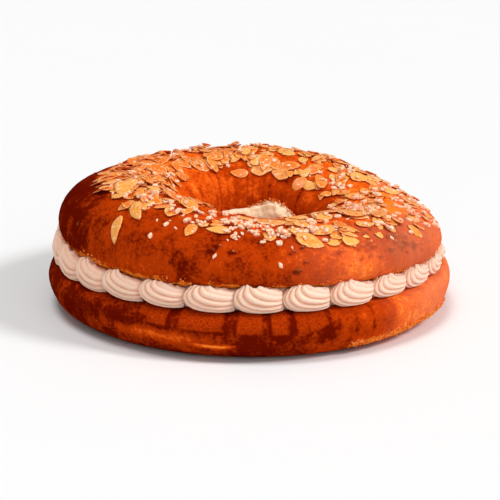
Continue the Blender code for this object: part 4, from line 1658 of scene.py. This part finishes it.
def add_floor(colours):
    corners = [(x * FLOOR_HALF, y * FLOOR_HALF, 0) for x, y in ((-1, -1), (1, -1), (1, 1), (-1, 1))]
    mesh = bpy.data.meshes.new("floor")
    mesh.from_pydata(corners, [], [(0, 1, 2, 3)])
    mesh.materials.append(floor_finish(colours))
    floor = bpy.data.objects.new("floor", mesh)
    bpy.context.scene.collection.objects.link(floor)


def light_stage():
    world = bpy.data.worlds.new("studio")
    bpy.context.scene.world = world
    world.use_nodes = True
    sky = world.node_tree.nodes["Background"]
    sky.inputs["Color"].default_value = (1, 1, 1, 1)
    sky.inputs["Strength"].default_value = 0.30
    add_sun("key", (0.70, -0.20, 0.66), 14, 1.75)
    add_sun("front", (0.20, -0.88, 0.42), 60, 0.75)
    add_sun("over", (-0.15, -0.15, 0.95), 25, 1.4)
    bpy.context.scene.view_settings.view_transform = "Standard"
    bpy.context.scene.view_settings.look = "None"


# Operators.


def settings(context):
    """The sizes and the colours that the panel shows."""
    return context.scene.ring_cake_sizes, context.scene.ring_cake_colours


class RING_OT_bottom_half(Operator):
    """Builds the bottom half: baked crust with pale patches, and the crumb of its cut face."""

    bl_idname = "ring_cake.bottom_half"
    bl_label = "Bottom Half"

    def execute(self, context):
        build_bottom_crust(*settings(context))
        return {"FINISHED"}


class RING_OT_top_half(Operator):
    """Builds the top half: glazed crust with creases and blisters, and the crumb of its cut face."""

    bl_idname = "ring_cake.top_half"
    bl_label = "Top Half"

    def execute(self, context):
        build_top_crust(*settings(context))
        return {"FINISHED"}


class RING_OT_piped_cream(Operator):
    """Pipes the shells of cream round the outside, with the body of the filling behind them."""

    bl_idname = "ring_cake.piped_cream"
    bl_label = "Piped Cream"

    def execute(self, context):
        build_piped_cream(*settings(context))
        return {"FINISHED"}


class RING_OT_toppings(Operator):
    """Strews the almond flakes over the crest, and the sugar nibs over them."""

    bl_idname = "ring_cake.toppings"
    bl_label = "Almonds and Sugar"

    def execute(self, context):
        pile = Pile()
        build_almond_flakes(*settings(context), pile)
        build_sugar_nibs(*settings(context), pile)
        return {"FINISHED"}


class RING_OT_crumbs(Operator):
    """Scatters loose golden crumbs along the bread's torn edges and over the cream in the hole."""

    bl_idname = "ring_cake.crumbs"
    bl_label = "Loose Crumbs"

    def execute(self, context):
        build_crumbs(*settings(context))
        return {"FINISHED"}


class RING_OT_stage(Operator):
    """Sets up the floor, the studio lights and the camera."""

    bl_idname = "ring_cake.stage"
    bl_label = "Stage"

    def execute(self, context):
        add_floor(context.scene.ring_cake_colours)
        light_stage()
        add_camera()
        return {"FINISHED"}


class RING_PT_panel(Panel):
    """The pieces of the ring, with their sizes and colours."""

    bl_idname = "RING_PT_panel"
    bl_label = "Filled Ring Cake"
    bl_space_type = "VIEW_3D"
    bl_region_type = "UI"
    bl_category = "Ring Cake"

    def draw(self, context):
        column = self.layout.column()
        for operator in OPERATORS:
            column.operator(operator.bl_idname)
        for group in settings(context):
            box = self.layout.box()
            for name in group.__annotations__:
                box.prop(group, name)


OPERATORS = (
    RING_OT_bottom_half,
    RING_OT_piped_cream,
    RING_OT_top_half,
    RING_OT_toppings,
    RING_OT_crumbs,
    RING_OT_stage,
)
CLASSES = (RingCakeSizes, RingCakeColours, *OPERATORS, RING_PT_panel)


def register():
    for kind in CLASSES:
        bpy.utils.register_class(kind)
    bpy.types.Scene.ring_cake_sizes = PointerProperty(type=RingCakeSizes)
    bpy.types.Scene.ring_cake_colours = PointerProperty(type=RingCakeColours)


def unregister():
    del bpy.types.Scene.ring_cake_colours
    del bpy.types.Scene.ring_cake_sizes
    for kind in reversed(CLASSES):
        bpy.utils.unregister_class(kind)


def main():
    register()
    bpy.ops.ring_cake.bottom_half()
    bpy.ops.ring_cake.piped_cream()
    bpy.ops.ring_cake.top_half()
    bpy.ops.ring_cake.toppings()
    bpy.ops.ring_cake.crumbs()
    bpy.ops.ring_cake.stage()


if __name__ == "__main__":
    main()
